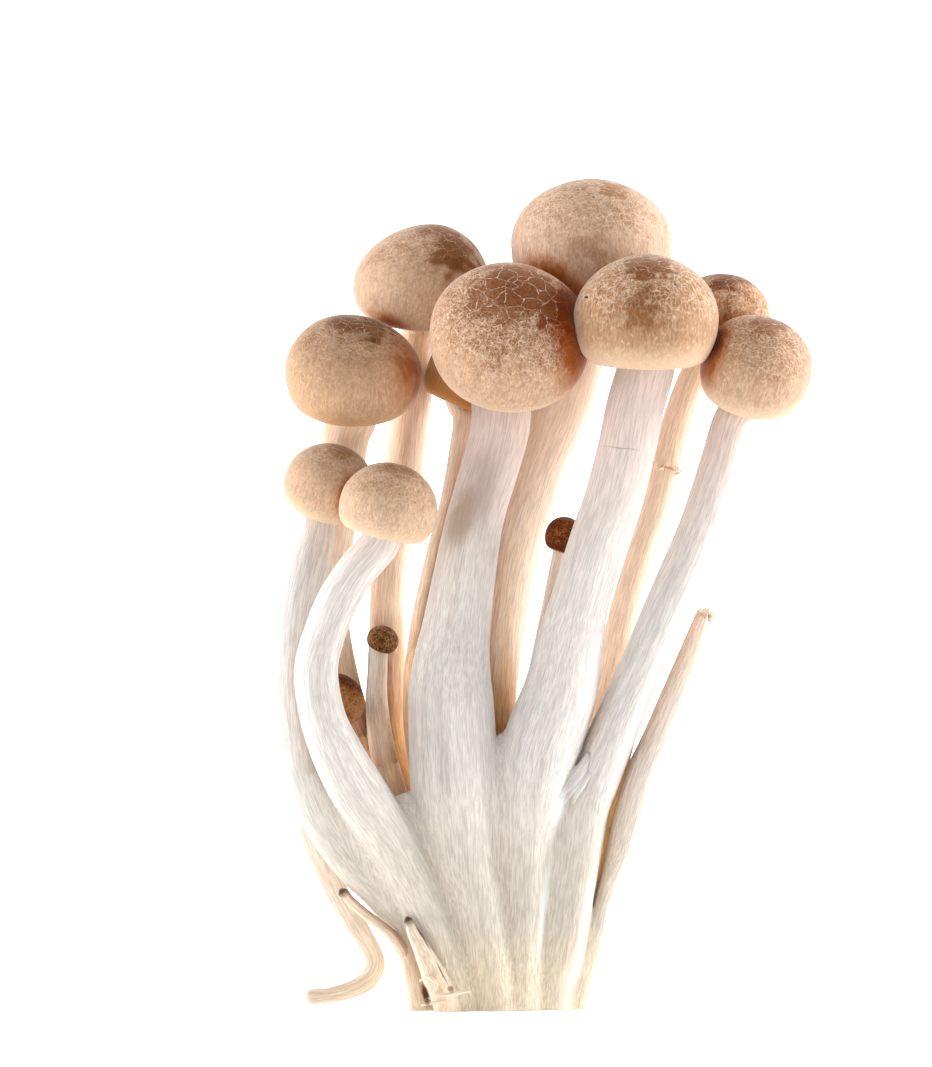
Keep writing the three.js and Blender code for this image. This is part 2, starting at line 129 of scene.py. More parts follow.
@dataclass
class Lumps:
    """Smooth random waves in space, for forms that are never quite round."""

    seed: int
    wavelength: float
    count: int = 9
    spread: Pair = (0.7, 1.6)  # shortest and longest wave, as shares of the wavelength

    def height(self, points: np.ndarray) -> np.ndarray:
        """The waves' height at each point.

        Args:
            points: Points, one a row.

        Returns:
            A height from about -1 to 1 for each.
        """
        random = np.random.default_rng(self.seed)
        total = np.zeros(len(points))
        for _ in range(self.count):
            direction = random.normal(size=3)
            direction /= np.linalg.norm(direction)
            length = self.wavelength * random.uniform(*self.spread)
            total += np.sin(points @ direction * (math.tau / length) + random.uniform(0, math.tau))
        return total / math.sqrt(self.count)


def wrapped_faces(rings: int, sides: int) -> Faces:
    """Faces of a closed form of rings, with a point at each end after the rings' vertices.

    Args:
        rings: How many rings of vertices there are.
        sides: Vertices in a ring.

    Returns:
        The faces, turned outwards where the rings run against the clock seen from their end.
    """
    faces: Faces = []
    first_pole = rings * sides
    for side in range(sides):
        after = (side + 1) % sides
        faces.append((after, side, first_pole))
        last = (rings - 1) * sides
        faces.append((last + side, last + after, first_pole + 1))
        for ring in range(rings - 1):
            low = ring * sides
            high = low + sides
            faces.append((low + side, low + after, high + after, high + side))
    return faces


def placed(name: str, data: bpy.types.ID) -> Piece:
    """Makes an object of a mesh, a lamp or a camera and links it to the scene."""
    thing = bpy.data.objects.new(name, data)
    bpy.context.scene.collection.objects.link(thing)
    return thing


def new_piece(
    name: str,
    points: np.ndarray,
    faces: Faces,
    values: dict[str, np.ndarray],
    material: Material,
) -> Piece:
    """Makes a smooth mesh object from points in millimetres.

    Args:
        name: The object's name.
        points: Its vertices.
        faces: Its faces, as vertex numbers.
        values: Named values for each vertex, one number or three.
        material: Its material.

    Returns:
        The object, linked to the scene.
    """
    mesh = bpy.data.meshes.new(name)
    mesh.from_pydata((points * METRES).tolist(), [], faces)
    for label, value in values.items():
        kind = "FLOAT" if value.ndim == 1 else "FLOAT_VECTOR"
        layer = mesh.attributes.new(label, kind, "POINT")
        layer.data.foreach_set("value" if value.ndim == 1 else "vector", value.astype(np.float32).ravel())
    mesh.shade_smooth()
    mesh.materials.append(material)
    return placed(name, mesh)


def settle(piece: Piece, slot: str, *nodes: str) -> None:
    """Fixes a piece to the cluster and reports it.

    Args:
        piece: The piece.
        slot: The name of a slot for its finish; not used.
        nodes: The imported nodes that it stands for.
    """
    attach(piece, "root")
    if nodes:
        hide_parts(*nodes)
    LOG.info("%s: %d faces", piece.name, len(piece.data.polygons))


class Ending(Enum):
    """What a strand has at its top."""

    CAP = "cap"
    TORN = "torn"
    DARK_TIP = "dark tip"


@dataclass(frozen=True)
class Stain:
    """A smoother, darker patch on the viewer's side of a cap, given by its middle and its half sizes."""

    across: float
    height: float
    half_width: float
    half_height: float
    strength: float = 1.0
    raggedness: float = 0.35
    fade: Pair = (1.35, 0.65)  # shares of its size between which it grows to its full strength

    def cover(self, points: np.ndarray, middle: float) -> np.ndarray:
        """How strongly the patch covers points.

        Args:
            points: Points of a cap's skin.
            middle: The cap's middle, from front to back.

        Returns:
            From 0 to the patch's strength.
        """
        wave = self.raggedness * Lumps(seed=17, wavelength=2.2).height(points)
        offset = np.hypot((points[:, 0] - self.across) / self.half_width,
                          (points[:, 2] - self.height) / self.half_height)
        front = smooth_step(points[:, 1] - middle, 1, -1)
        return self.strength * smooth_step(offset + wave, *self.fade) * front


# Rows of a cap's section over its dome and round its margin, and how close to its axis the rows end
DOME_ROWS = 44
MARGIN_ROWS = 18
POLE = 0.02


@dataclass
class Cap:
    """A mushroom's cap: its size, its lean and the forms of its dome, margin and underside."""

    name: str
    centre: Triple
    radius: float
    rise: float
    drop: float
    lean: Triple
    seed: int
    stains: tuple[Stain, ...] = ()
    young: bool = False
    lumpiness: float = 0.012
    fullness: float = 2.0  # power of the dome's curve, 2 for an ellipse and less for a steeper dome
    skew: float = 0.0  # how far the crown stands to the side, as a share of the radius
    shade_width: float = 3.6  # how far from a neighbour the painted shade still reaches
    rim: float = 0.68  # radius of the lower rim, as a share of the radius
    roof: float = 0.36  # depth of the gill chamber's roof, same share
    lump_sizes: Pair = (2.3, 0.8)  # wavelengths of its large and small lumps, same share
    open_skin: Pair = (1.62, 1.3)  # reach of the skin past which the lumps fade, and where they are full
    sides: int = 144

    @property
    def axis(self) -> np.ndarray:
        """The direction in which the crown points."""
        lean = np.array(self.lean)
        return lean / np.linalg.norm(lean)

    def turn(self) -> np.ndarray:
        """The matrix that takes the cap's own directions, crown up, to the cluster's."""
        return np.array(Vector((0, 0, 1)).rotation_difference(Vector(self.axis)).to_matrix())

    def below(self, share: float, distance: float = 0.0) -> np.ndarray:
        """The point on the axis that lies below the centre by a share of the radius and a distance."""
        return np.array(self.centre) - self.axis * (share * self.radius + distance)

    def section(self) -> np.ndarray:
        """Half of the section, in shares of the radius.

        Returns:
            Rows of distance from the axis and height, from the crown round the margin to the roof.
        """
        dome = np.linspace(POLE, 1, DOME_ROWS)[:, None] * math.pi / 2
        margin = np.linspace(0, 1, MARGIN_ROWS)[1:, None] * math.pi / 2
        power = 2 / self.fullness
        upper = np.hstack([np.sin(dome) ** power, self.rise * np.clip(np.cos(dome), 0, 1) ** power])
        lower = np.hstack([self.rim + (1 - self.rim) * np.cos(margin), -self.drop * np.sin(margin)])
        if self.young:
            under = np.array([[self.rim, -self.drop], [0.5, -self.drop + 0.06], [POLE, -self.drop + 0.1]])
        else:
            under = np.array([
                [self.rim, -self.drop], [0.635, -self.drop + 0.02], [0.6, -self.drop + 0.075],
                [0.565, -self.roof - 0.1], [0.48, -self.roof - 0.02], [0.3, -self.roof], [POLE, -self.roof],
            ])
        return np.vstack([upper, lower, smooth_line(under, steps=5)[1:]])

    def level(self, points: np.ndarray) -> np.ndarray:
        """How far out points lie: below 1 inside the cap, 1 on its skin, above 1 outside.

        Args:
            points: Points of the cluster, in millimetres.

        Returns:
            One number a point.
        """
        local = (points - np.array(self.centre)) @ self.turn() / self.radius
        height = np.maximum(local[:, 2] / self.rise, 0)
        out = np.hypot(local[:, 0] - self.skew * np.minimum(height, 1) ** 2, local[:, 1])
        above = (out ** self.fullness + height ** self.fullness) ** (1 / self.fullness)
        past_rim = np.maximum(out - self.rim, 0) / (1 - self.rim)
        below = np.hypot(past_rim, local[:, 2] / self.drop)
        return np.where(local[:, 2] >= 0, above, below)

    def gap(self, points: np.ndarray) -> np.ndarray:
        """About how far points lie outside the cap's skin, in millimetres."""
        height = (points - np.array(self.centre)) @ self.axis
        share = np.where(height >= 0, 1.0, min(1 - self.rim, self.drop))
        return (self.level(points) - 1) * self.radius * share

    def press(self, points: np.ndarray, other: "Cap") -> np.ndarray:
        """Dents points where the other cap presses on them.

        Args:
            points: This cap's points.
            other: The cap that presses.

        Returns:
            The points, moved out of the other cap.
        """
        grown = 1 + TOUCH_GAP / other.radius
        level = other.level(points) / grown
        inside = level < 1
        heart = np.array(other.centre)
        moved = points.copy()
        moved[inside] = heart + (points[inside] - heart) / level[inside, None]
        return moved

    def contact_shade(self, points: np.ndarray, others: list["Cap"]) -> np.ndarray:
        """Painted shade from other caps: how closely they stand to points of the skin.

        Args:
            points: The points.
            others: The caps whose painted shade falls on it.

        Returns:
            From 0, open, to 1, touching.
        """
        total = np.zeros(len(points))
        touching, falloff = -0.4, 1.2
        for other in others:
            total = np.maximum(total, smooth_step(other.gap(points), self.shade_width, touching) ** falloff)
        return total

    def build(self, material: Material, neighbours: list["Cap"], others: list["Cap"]) -> Piece:
        """Makes the cap's skin, margin and underside as one closed mesh.

        Args:
            material: Its finish.
            neighbours: The caps that press on it.
            others: The caps whose painted shade falls on it.

        Returns:
            The object.
        """
        section = self.section()
        step = np.diff(section, axis=0, prepend=section[:1])
        arc = np.cumsum(np.hypot(step[:, 0], step[:, 1]))
        widest = arc[DOME_ROWS - 1]
        angles = np.linspace(0, math.tau, self.sides, endpoint=False)
        rings = len(section)
        # the crown comes last, so that the rings run up the cap
        order = np.arange(rings)[::-1]
        out = np.repeat(section[order, 0], self.sides)
        height = np.repeat(section[order, 1], self.sides)
        reach = np.repeat(arc[order] / widest, self.sides)
        turn = np.tile(angles, rings)
        local = np.stack([out * np.cos(turn), out * np.sin(turn), height], axis=1)
        poles = np.array([[0, 0, section[-1, 1]], [0, 0, self.rise]])
        local = np.vstack([local, poles])
        reach = np.append(reach, [arc[-1] / widest, 0])
        turn = np.append(turn, [0, 0])
        large, small = self.lump_sizes
        lumps = Lumps(self.seed, large).height(local) + 0.35 * Lumps(self.seed + 50, small).height(local)
        local *= (1 + self.lumpiness * lumps * smooth_step(reach, *self.open_skin))[:, None]
        local[:, 0] += self.skew * np.maximum(local[:, 2] / self.rise, 0) ** 2
        points = np.array(self.centre) + local * self.radius @ self.turn().T
        for other in neighbours:
            points = self.press(points, other)
        length = reach * widest * self.radius
        shift = self.seed * 17.0  # so that no two caps show the same pattern
        width = np.append(out, [0, 0]) * self.radius
        around = np.stack([width * np.cos(turn), width * np.sin(turn), length + shift], axis=1)
        stain_and_shade = np.zeros(len(points))
        for patch in self.stains:
            stain_and_shade = np.maximum(stain_and_shade, patch.cover(points, self.centre[1]))
        values = {
            "around": around, "reach": reach, "stain_and_shade": stain_and_shade, "contact_shade": self.contact_shade(points, others),
        }
        return new_piece(f"cap_{self.name}_skin", points, wrapped_faces(rings, self.sides), values, material)


@dataclass
class Gills:
    """The thin plates under an open cap, from the rim's inner side to the stem."""

    cap: Cap
    stem_radius: float
    count: int = 84
    thickness: float = 0.14
    outer: float = 0.6  # where the plates start at the rim, as a share of the radius
    lip: float = 0.07  # how far their edges keep above the rim and below the roof, same share
    short_stop: float = 0.16  # how far from the stem the short ones end, same share
    rows: int = 9

    def plate(self, short: bool) -> np.ndarray:
        """One plate's outline in the cap's section, in shares of the radius.

        Args:
            short: Whether it stops halfway to the stem.

        Returns:
            Rows of distance from the axis and height.
        """
        cap = self.cap
        inner = self.stem_radius / cap.radius * 0.9 + (self.short_stop if short else 0)
        share = np.linspace(0, 1, self.rows)
        out = self.outer + (inner - self.outer) * share
        low = -cap.drop + self.lip + (cap.drop - self.lip - cap.roof - self.lip) * share ** 1.4
        if short:
            low = low + (-cap.roof + 0.01 - low) * share ** 2
        top_height = -cap.roof + 0.03
        low = np.minimum(low, top_height - 0.02)
        upper = np.stack([out[::-1], np.full(self.rows, top_height)], axis=1)
        return np.vstack([np.stack([out, low], axis=1), upper])

    def build(self, material: Material) -> Piece:
        """Makes all the plates as one mesh.

        Args:
            material: Their finish.

        Returns:
            The object.
        """
        cap = self.cap
        random = np.random.default_rng(cap.seed + 900)
        points, faces, along = [], [], []
        turn = cap.turn().T
        for index in range(self.count):
            outline = self.plate(index % 2 == 1)
            angle = math.tau * (index + random.uniform(-0.18, 0.18)) / self.count
            ahead = np.array([math.cos(angle), math.sin(angle), 0])
            side = np.array([-math.sin(angle), math.cos(angle), 0])
            middle = outline[:, :1] * ahead + outline[:, 1:] * np.array([0, 0, 1])
            half = side * self.thickness / cap.radius / 2
            start = sum(len(rows) for rows in points)
            count = len(outline)
            points.append(np.vstack([middle + half, middle - half]))
            along.append(np.tile(outline[:, 0], 2))
            front = [start + number for number in range(count)]
            faces.append(tuple(front))
            faces.append(tuple(number + count for number in reversed(front)))
            for number in range(count):
                after = (number + 1) % count
                faces.append((start + number, start + count + number, start + count + after, start + after))
        plates = np.array(cap.centre) + np.vstack(points) * cap.radius @ turn
        return new_piece(f"gills_{cap.name}", plates, faces, {"along": np.concatenate(along)}, material)


RIDGE_COUNTS = (2, 3, 4, 6, 9, 13, 18, 23)  # how many times each wave of ridges goes round a strand
COARSE = 6  # every which sample of a line is tried first when the nearest is looked for
BATCH = 4000  # points that are looked up at a time


@dataclass
class Strand:
    """One stem from below the cut up to its top: its centre line, thickness, ridges and tone.

    Its warm tone at the fork, in the middle and at the top runs from 0 (white) to 1 (amber), partly the
    flesh's own colour and partly painted shade, deepest on the back stems inside the cluster.
    """

    name: str
    stations: list[Station]
    fork: float
    seed: int
    warmth_and_shade: Triple = (0.0, 0.0, 0.0)
    ending: Ending = Ending.CAP
    cap: Cap | None = None
    sides: int = 56
    ridge: float = 1.0
    neck: float = 0.72
    rise: float = SEAM_REACH  # length in which it ends above the foot
    line: np.ndarray = field(init=False)
    run: np.ndarray = field(init=False)
    along: np.ndarray = field(init=False)
    across: np.ndarray = field(init=False)
    other: np.ndarray = field(init=False)

    def __post_init__(self) -> None:
        """Samples the line, its length and its directions."""
        stations = [list(station) for station in self.stations]
        if self.cap:
            radius = stations[-1][3]
            depth = self.cap.drop if self.cap.young else self.cap.roof + 0.03
            neck = self.cap.drop + self.neck if self.cap.young else self.neck
            stations.append([*self.cap.below(neck), radius])
            stations.append([*self.cap.below(depth, -0.4), radius])
        self.line = smooth_line(np.array(stations))
        step = np.diff(self.line[:, :3], axis=0)
        length = np.linalg.norm(step, axis=1)
        self.run = np.concatenate([[0], np.cumsum(length)])
        tangent = np.gradient(self.line[:, :3], self.run, axis=0)
        self.along = tangent / np.linalg.norm(tangent, axis=1)[:, None]
        across = np.array([1.0, 0, 0])
        rows = []
        for direction in self.along:
            across = across - direction * (across @ direction)
            across /= np.linalg.norm(across)
            rows.append(across)
        self.across = np.array(rows)
        self.other = np.cross(self.along, self.across)

    def reach(self, height: float) -> float:
        """The length along the strand at which it first reaches a height."""
        above = np.nonzero(self.line[:, 2] >= height)[0]
        return float(self.run[above[0]]) if len(above) else float(self.run[-1])

    def station(self, height: float) -> np.ndarray:
        """Centre and radius of the strand where it first reaches a height."""
        return self.sample(np.array([self.reach(height)]), self.line)[0]

    def sample(self, lengths: np.ndarray, table: np.ndarray) -> np.ndarray:
        """Reads a table of the strand's samples at lengths along it.

        Args:
            lengths: Lengths along the strand.
            table: One row a sample.

        Returns:
            One row a length.
        """
        columns = [np.interp(lengths, self.run, table[:, column]) for column in range(table.shape[1])]
        return np.stack(columns, axis=1)

    def ridges(self, angle: np.ndarray, length: np.ndarray, height: np.ndarray) -> np.ndarray:
        """The height of the lengthwise ridges, which are stronger in the foot.

        Args:
            angle: Angle round the strand.
            length: Length along it.
            height: Height above the cut.

        Returns:
            Millimetres outwards.
        """
        random = np.random.default_rng(self.seed)
        total = np.zeros(np.broadcast(angle, length).shape)
        for count in RIDGE_COUNTS:
            size = 0.05 / count ** 0.55
            drift = 0.7 * np.sin(length * 2 * math.pi / random.uniform(28, 60) + random.uniform(0, PHASES))
            total += size * np.sin(count * angle + random.uniform(0, PHASES) + drift)
        thick = np.interp(length, self.run, self.line[:, 3])
        lower = 0.45 + 0.9 * smooth_step(height, 44, 20) + 1.7 * smooth_step(height, 24, 6)
        return total * self.ridge * (0.3 + 0.2 * thick) * lower

    def locate(self, points: np.ndarray) -> tuple[np.ndarray, np.ndarray, np.ndarray, np.ndarray]:
        """Where points lie against the strand.

        Args:
            points: Points, one a row.

        Returns:
            Length along the strand, angle round it, distance from its centre line, and direction outwards.
        """
        nearest = np.empty(len(points), int)
        for start in range(0, len(points), BATCH):
            part = points[start:start + BATCH]
            offset = part[:, None, :] - self.line[None, ::COARSE, :3]
            square = np.einsum("ijk,ijk->ij", offset, offset)
            nearest[start:start + BATCH] = np.argmin(square, axis=1) * COARSE
        length = self.run[nearest]
        for _ in range(2):
            centre = self.sample(length, self.line[:, :3])
            along = self.sample(length, self.along)
            length = np.clip(length + np.einsum("ij,ij->i", points - centre, along), 0, self.run[-1])
        centre = self.sample(length, self.line[:, :3])
        offset = points - centre
        right = np.einsum("ij,ij->i", offset, self.sample(length, self.across))
        far = np.einsum("ij,ij->i", offset, self.sample(length, self.other))
        distance = np.linalg.norm(offset, axis=1)
        outward = offset / np.maximum(distance, TINY)[:, None]
        return length, np.arctan2(far, right), distance, outward

    def grain(self, length: np.ndarray, angle: np.ndarray, distance: np.ndarray) -> np.ndarray:
        """Coordinates that run straight up the strand however it bends, in millimetres."""
        base = self.line[0, :2]
        return np.stack([
            base[0] + distance * np.cos(angle), base[1] + distance * np.sin(angle), length + self.seed * 0.37,
        ], axis=1)

    def tone(self, length: np.ndarray, outward: np.ndarray) -> np.ndarray:
        """The flesh's warm tone, partly its own colour and partly painted shade, which is less where the skin
        faces away from the cluster's front.

        Args:
            length: Lengths along the strand.
            outward: The skin's direction at each.

        Returns:
            One number a point.
        """
        fork = self.reach(self.fork)
        top = self.run[-1]
        inner = smooth_step(-outward[:, 1], -0.3, 0.4)
        return np.interp(length, [fork, (fork + top) / 2, top], self.warmth_and_shade) * (0.4 + 0.6 * inner)

    def skin(self, lengths: np.ndarray, scale: np.ndarray) -> tuple[np.ndarray, np.ndarray, np.ndarray]:
        """Points of the strand's skin, ring by ring.

        Args:
            lengths: The rings' lengths along the strand.
            scale: Each ring's thickness, as a share of the strand's own.

        Returns:
            The points, and each point's angle and length.
        """
        angles = np.linspace(0, math.tau, self.sides, endpoint=False)
        centre = self.sample(lengths, self.line)
        angle, length = np.meshgrid(angles, lengths)
        height = np.repeat(centre[:, 2:3], self.sides, axis=1)
        radius = (centre[:, 3:4] + self.ridges(angle, length, height)) * scale[:, None]
        ahead = self.sample(lengths, self.across)[:, None, :]
        side = self.sample(lengths, self.other)[:, None, :]
        points = centre[:, None, :3] + radius[..., None] * (
            np.cos(angle)[..., None] * ahead + np.sin(angle)[..., None] * side)
        return points.reshape(-1, 3), angle.ravel(), length.ravel()

    def tube(self, start: float, end: float, sink_start: bool = True, sink_end: bool = False) -> "Tube":
        """A closed stretch of the strand between two lengths.

        Args:
            start: The length at which it starts.
            end: The length at which it ends.
            sink_start: Whether it thins to nothing below its start, inside what carries it.
            sink_end: Whether it thins to nothing past its end.

        Returns:
            Its points, faces, angles and lengths.
        """
        count = max(4, round((end - start) / RING_SPACING))
        lengths = np.linspace(start, end, count)
        scale = np.ones(count)
        curve = np.linspace(0, 1, 11)[1:-1] * math.pi / 2
        if sink_start:
            lengths = np.concatenate([start - SEAM_REACH * np.cos(curve), lengths])
            scale = np.concatenate([np.sin(curve), scale])
        if sink_end:
            lengths = np.concatenate([lengths, end + SEAM_REACH * np.sin(curve)])
            scale = np.concatenate([scale, np.cos(curve)])
        points, angle, length = self.skin(lengths, scale)
        first = self.sample(lengths[:1], self.line[:, :3])
        last = self.sample(lengths[-1:], self.line[:, :3])
        return Tube(
            points=np.vstack([points, first, last]),
            faces=wrapped_faces(len(lengths), self.sides),
            angle=np.append(angle, [0, 0]),
            length=np.append(length, [lengths[0], lengths[-1]]),
        )


@dataclass
class Tube:
    """A closed stretch of a strand as mesh data."""

    points: np.ndarray
    faces: Faces
    angle: np.ndarray
    length: np.ndarray


def crease_shade(points: np.ndarray, outward: np.ndarray, others: list[Strand], reach: float) -> np.ndarray:
    """Painted crease shade: how much of a point's outlook other strands close in.

    Args:
        points: Points on a skin.
        outward: The skin's direction there.
        others: The strands that may be near.
        reach: The distance past which a strand no longer counts.

    Returns:
        From 0, open, to 1, shut in.
    """
    total = np.zeros(len(points))
    thickest = 7
    for strand in others:
        low = strand.line[:, :3].min(0) - reach - thickest
        high = strand.line[:, :3].max(0) + reach + thickest
        near = np.all((points > low) & (points < high), axis=1)
        if not near.any():
            continue
        length, _, distance, away = strand.locate(points[near])
        gap = distance - np.interp(length, strand.run, strand.line[:, 3])
        facing = np.clip(-np.einsum("ij,ij->i", away, outward[near]) + 0.15, 0, 1)
        total[near] += smooth_step(gap, reach, 0) * facing
    return np.clip(total, 0, 1)


@dataclass(frozen=True)
class Web:
    """Flesh that fills the crease between two strands of the foot, up to a rounded crotch."""

    first: str
    second: str
    top: float
    fill: float = 0.8  # thickness, as a share of the thinner strand's
    back: float = 1.0  # how far it stands back from the two
    taper: float = 9.0  # length over which it thins towards its top
    warmth_and_shade: float = 0.0

    def strand(self, seed: int) -> Strand:
        """The web as a strand of its own, in the middle of the gap between the two."""
        stations = []
        for height in np.linspace(BELOW_CUT, self.top, 12):
            first, second = [STRANDS[name].station(height) for name in (self.first, self.second)]
            across = second[:3] - first[:3]
            offset = (first[3] - second[3]) / np.linalg.norm(across)
            middle = first[:3] + across * (1 + offset) / 2
            taper = 0.3 + 0.7 * math.sqrt(np.clip((self.top - height) / self.taper, 0, 1))
            radius = min(first[3], second[3]) * self.fill * taper
            stations.append((middle[0], middle[1] + self.back, float(height), radius))
        return Strand(f"web_{seed}", stations, self.top, seed, (self.warmth_and_shade,) * 3, rise=1.2)


@dataclass
class Foot:
    """The fused clump of strands at the bottom, up to the forks, cut off flat."""

    strands: list[Strand]
    webs: list[Strand]
    voxel: float = 0.42
    softness: Pair = (0.62, 0.3)  # how softly strands run into each other, at the cut and on top
    strand_top: float = FOOT_TOP + 2  # height at which the strands end inside the stems
    core_bottom: Pair = (9.5, 6.0)
    core_top: Pair = (4.5, 3.0)
    core_start: float = -1.0
    core_height: float = 29.0
    core_centre: Pair = (0.0, -1.2)
    core_sides: int = 48
    passes: int = 7  # how often the rough form is drawn towards the fused skin
    pull: float = 0.5  # how far a pass may move a point

    def core(self, points: np.ndarray) -> tuple[np.ndarray, np.ndarray]:
        """The oval heart between the strands.

        Args:
            points: Points, one a row.

        Returns:
            Distance outside it, and direction outwards.
        """
        rise = (points[:, 2] - self.core_start) / (self.core_height - self.core_start)
        share = np.clip(rise, 0, 1)[:, None]
        half = np.array(self.core_bottom) + (np.array(self.core_top) - np.array(self.core_bottom)) * share
        offset = points[:, :2] - np.array(self.core_centre)
        level = np.linalg.norm(offset / half, axis=1)
        side = (level - 1) * half.min(axis=1)
        above = points[:, 2] - self.core_height
        flat = offset / half ** 2
        flat /= np.maximum(np.linalg.norm(flat, axis=1), TINY)[:, None]
        direction = np.column_stack([flat, np.zeros(len(points))])
        over = above > side
        direction[over] = (0, 0, 1)
        return np.where(over, above, side), direction

    def shell(self, points: np.ndarray) -> tuple[np.ndarray, np.ndarray, dict[str, np.ndarray]]:
        """The softly fused skin of all the strands.

        Args:
            points: Points, one a row.

        Returns:
            Distance outside it, direction outwards, and the values for the finish.
        """
        gaps, ways, grains, tones = [], [], [], []
        for strand in [*self.strands, *self.webs]:
            length, angle, distance, outward = strand.locate(points)
            thick = np.interp(length, strand.run, strand.line[:, 3])
            past = (length - strand.reach(min(strand.fork, self.strand_top))) / strand.rise
            taper = np.sqrt(np.clip(1 - np.clip(past, 0, 1) ** 2, 0, 1))
            radius = (thick + strand.ridges(angle, length, points[:, 2])) * taper
            gaps.append(distance - radius)
            ways.append(outward)
            grains.append(strand.grain(length, angle, distance))
            tones.append(strand.tone(length, outward))
        core_gap, core_way = self.core(points)
        gaps.append(core_gap)
        ways.append(core_way)
        gap = np.array(gaps)
        share = np.clip(points[:, 2] / FOOT_TOP, 0, 1)
        soft = self.softness[0] + (self.softness[1] - self.softness[0]) * share
        least = gap.min(axis=0)
        weight = np.exp(-(gap - least) / soft)
        total = weight.sum(axis=0)
        whole = least - soft * (np.log(total) - 0.4 * (1 - share))
        weight /= total
        way = np.einsum("ij,ijk->jk", weight, np.array(ways))
        way /= np.maximum(np.linalg.norm(way, axis=1), 0.2)[:, None]
        lead = weight[:-1] ** 2
        lead /= np.maximum(lead.sum(axis=0), 1e-9)
        # where two strands meet in a crease, which takes painted shade
        nearest, second = np.sort(gap[:len(self.strands)], axis=0)[:2]
        crease = smooth_step(second - nearest, 0.8, 0) * smooth_step(nearest, 0.9, 0.2)
        # where the fibres fan out together: in the middle, at the bottom and where strands have merged
        middle = smooth_step(np.abs(points[:, 0] - 1.5), 12, 8.5) * smooth_step(points[:, 2], 33, 25)
        merged = np.maximum(smooth_step(points[:, 2], 13, 5), smooth_step(lead.max(axis=0), 0.98, 0.8))
        values = {
            "grain": np.einsum("ij,ijk->jk", lead, np.array(grains)),
            "warmth_and_shade": np.einsum("ij,ij->j", lead, np.array(tones)),
            "crease_shade": 0.6 * crease,
            "fan": np.maximum(middle, merged),
        }
        return whole, way, values

    def rough_form(self) -> tuple[np.ndarray, Faces]:
        """A mesh of even small faces round the strands, to be drawn onto their fused skin.

        Returns:
            Its points and faces.
        """
        points, faces, start = [], [], 0
        for strand in [*self.strands, *self.webs]:
            end = strand.reach(min(strand.fork, self.strand_top))
            tube = strand.tube(0, end, sink_start=False, sink_end=True)
            points.append(tube.points)
            faces += [tuple(number + start for number in face) for face in tube.faces]
            start += len(tube.points)
        angles = np.linspace(0, math.tau, self.core_sides, endpoint=False)
        across, deep = self.core_centre
        ends = ((self.core_bottom, self.core_start), (self.core_top, self.core_height))
        for half, height in ends:
            points.append(np.column_stack([
                across + half[0] * np.cos(angles), deep + half[1] * np.sin(angles),
                np.full(self.core_sides, height),
            ]))
        points.append(np.array([[across, deep, height] for _, height in ends]))
        faces += [tuple(number + start for number in face) for face in wrapped_faces(2, self.core_sides)]
        mesh = bpy.data.meshes.new("rough")
        mesh.from_pydata(np.vstack(points).tolist(), [], faces)
        rough = placed("rough", mesh)
        remesh = rough.modifiers.new("even", "REMESH")
        remesh.mode = "VOXEL"
        remesh.voxel_size = self.voxel
        result = bpy.data.meshes.new_from_object(rough.evaluated_get(bpy.context.evaluated_depsgraph_get()))
        place = np.empty(len(result.vertices) * 3)
        result.vertices.foreach_get("co", place)
        even = [tuple(polygon.vertices) for polygon in result.polygons]
        bpy.data.objects.remove(rough)
        bpy.data.meshes.remove(result)
        bpy.data.meshes.remove(mesh)
        return place.reshape(-1, 3), even

    def build(self, material: Material) -> Piece:
        """Makes the foot, flat on its cut.

        Args:
            material: Its finish.

        Returns:
            The object.
        """
        points, faces = self.rough_form()
        for _ in range(self.passes):
            gap, way, _ = self.shell(points)
            points = points - way * np.clip(gap, -self.pull, self.pull)[:, None]
        form = bmesh.new()
        vertices = [form.verts.new(point) for point in points]
        for face in faces:
            form.faces.new([vertices[number] for number in face])
        everything = [*form.verts, *form.edges, *form.faces]
        bmesh.ops.bisect_plane(
            form, geom=everything, plane_co=(0, 0, 0), plane_no=(0, 0, 1), clear_inner=True)
        rim = [edge for edge in form.edges if edge.is_boundary]
        bmesh.ops.holes_fill(form, edges=rim, sides=0)
        bmesh.ops.recalc_face_normals(form, faces=form.faces)
        form.verts.index_update()
        points = np.array([vertex.co for vertex in form.verts])
        outline = [tuple(vertex.index for vertex in face.verts) for face in form.faces]
        form.free()
        _, _, values = self.shell(points)
        foot = new_piece("foot_flesh", points, outline, values, material)
        flat = np.array([
            abs(face.normal.z) > 0.999 and face.center.z < 0.01 * METRES for face in foot.data.polygons])
        sharp = foot.data.attributes.new("sharp_face", "BOOLEAN", "FACE")
        sharp.data.foreach_set("value", flat)
        return foot


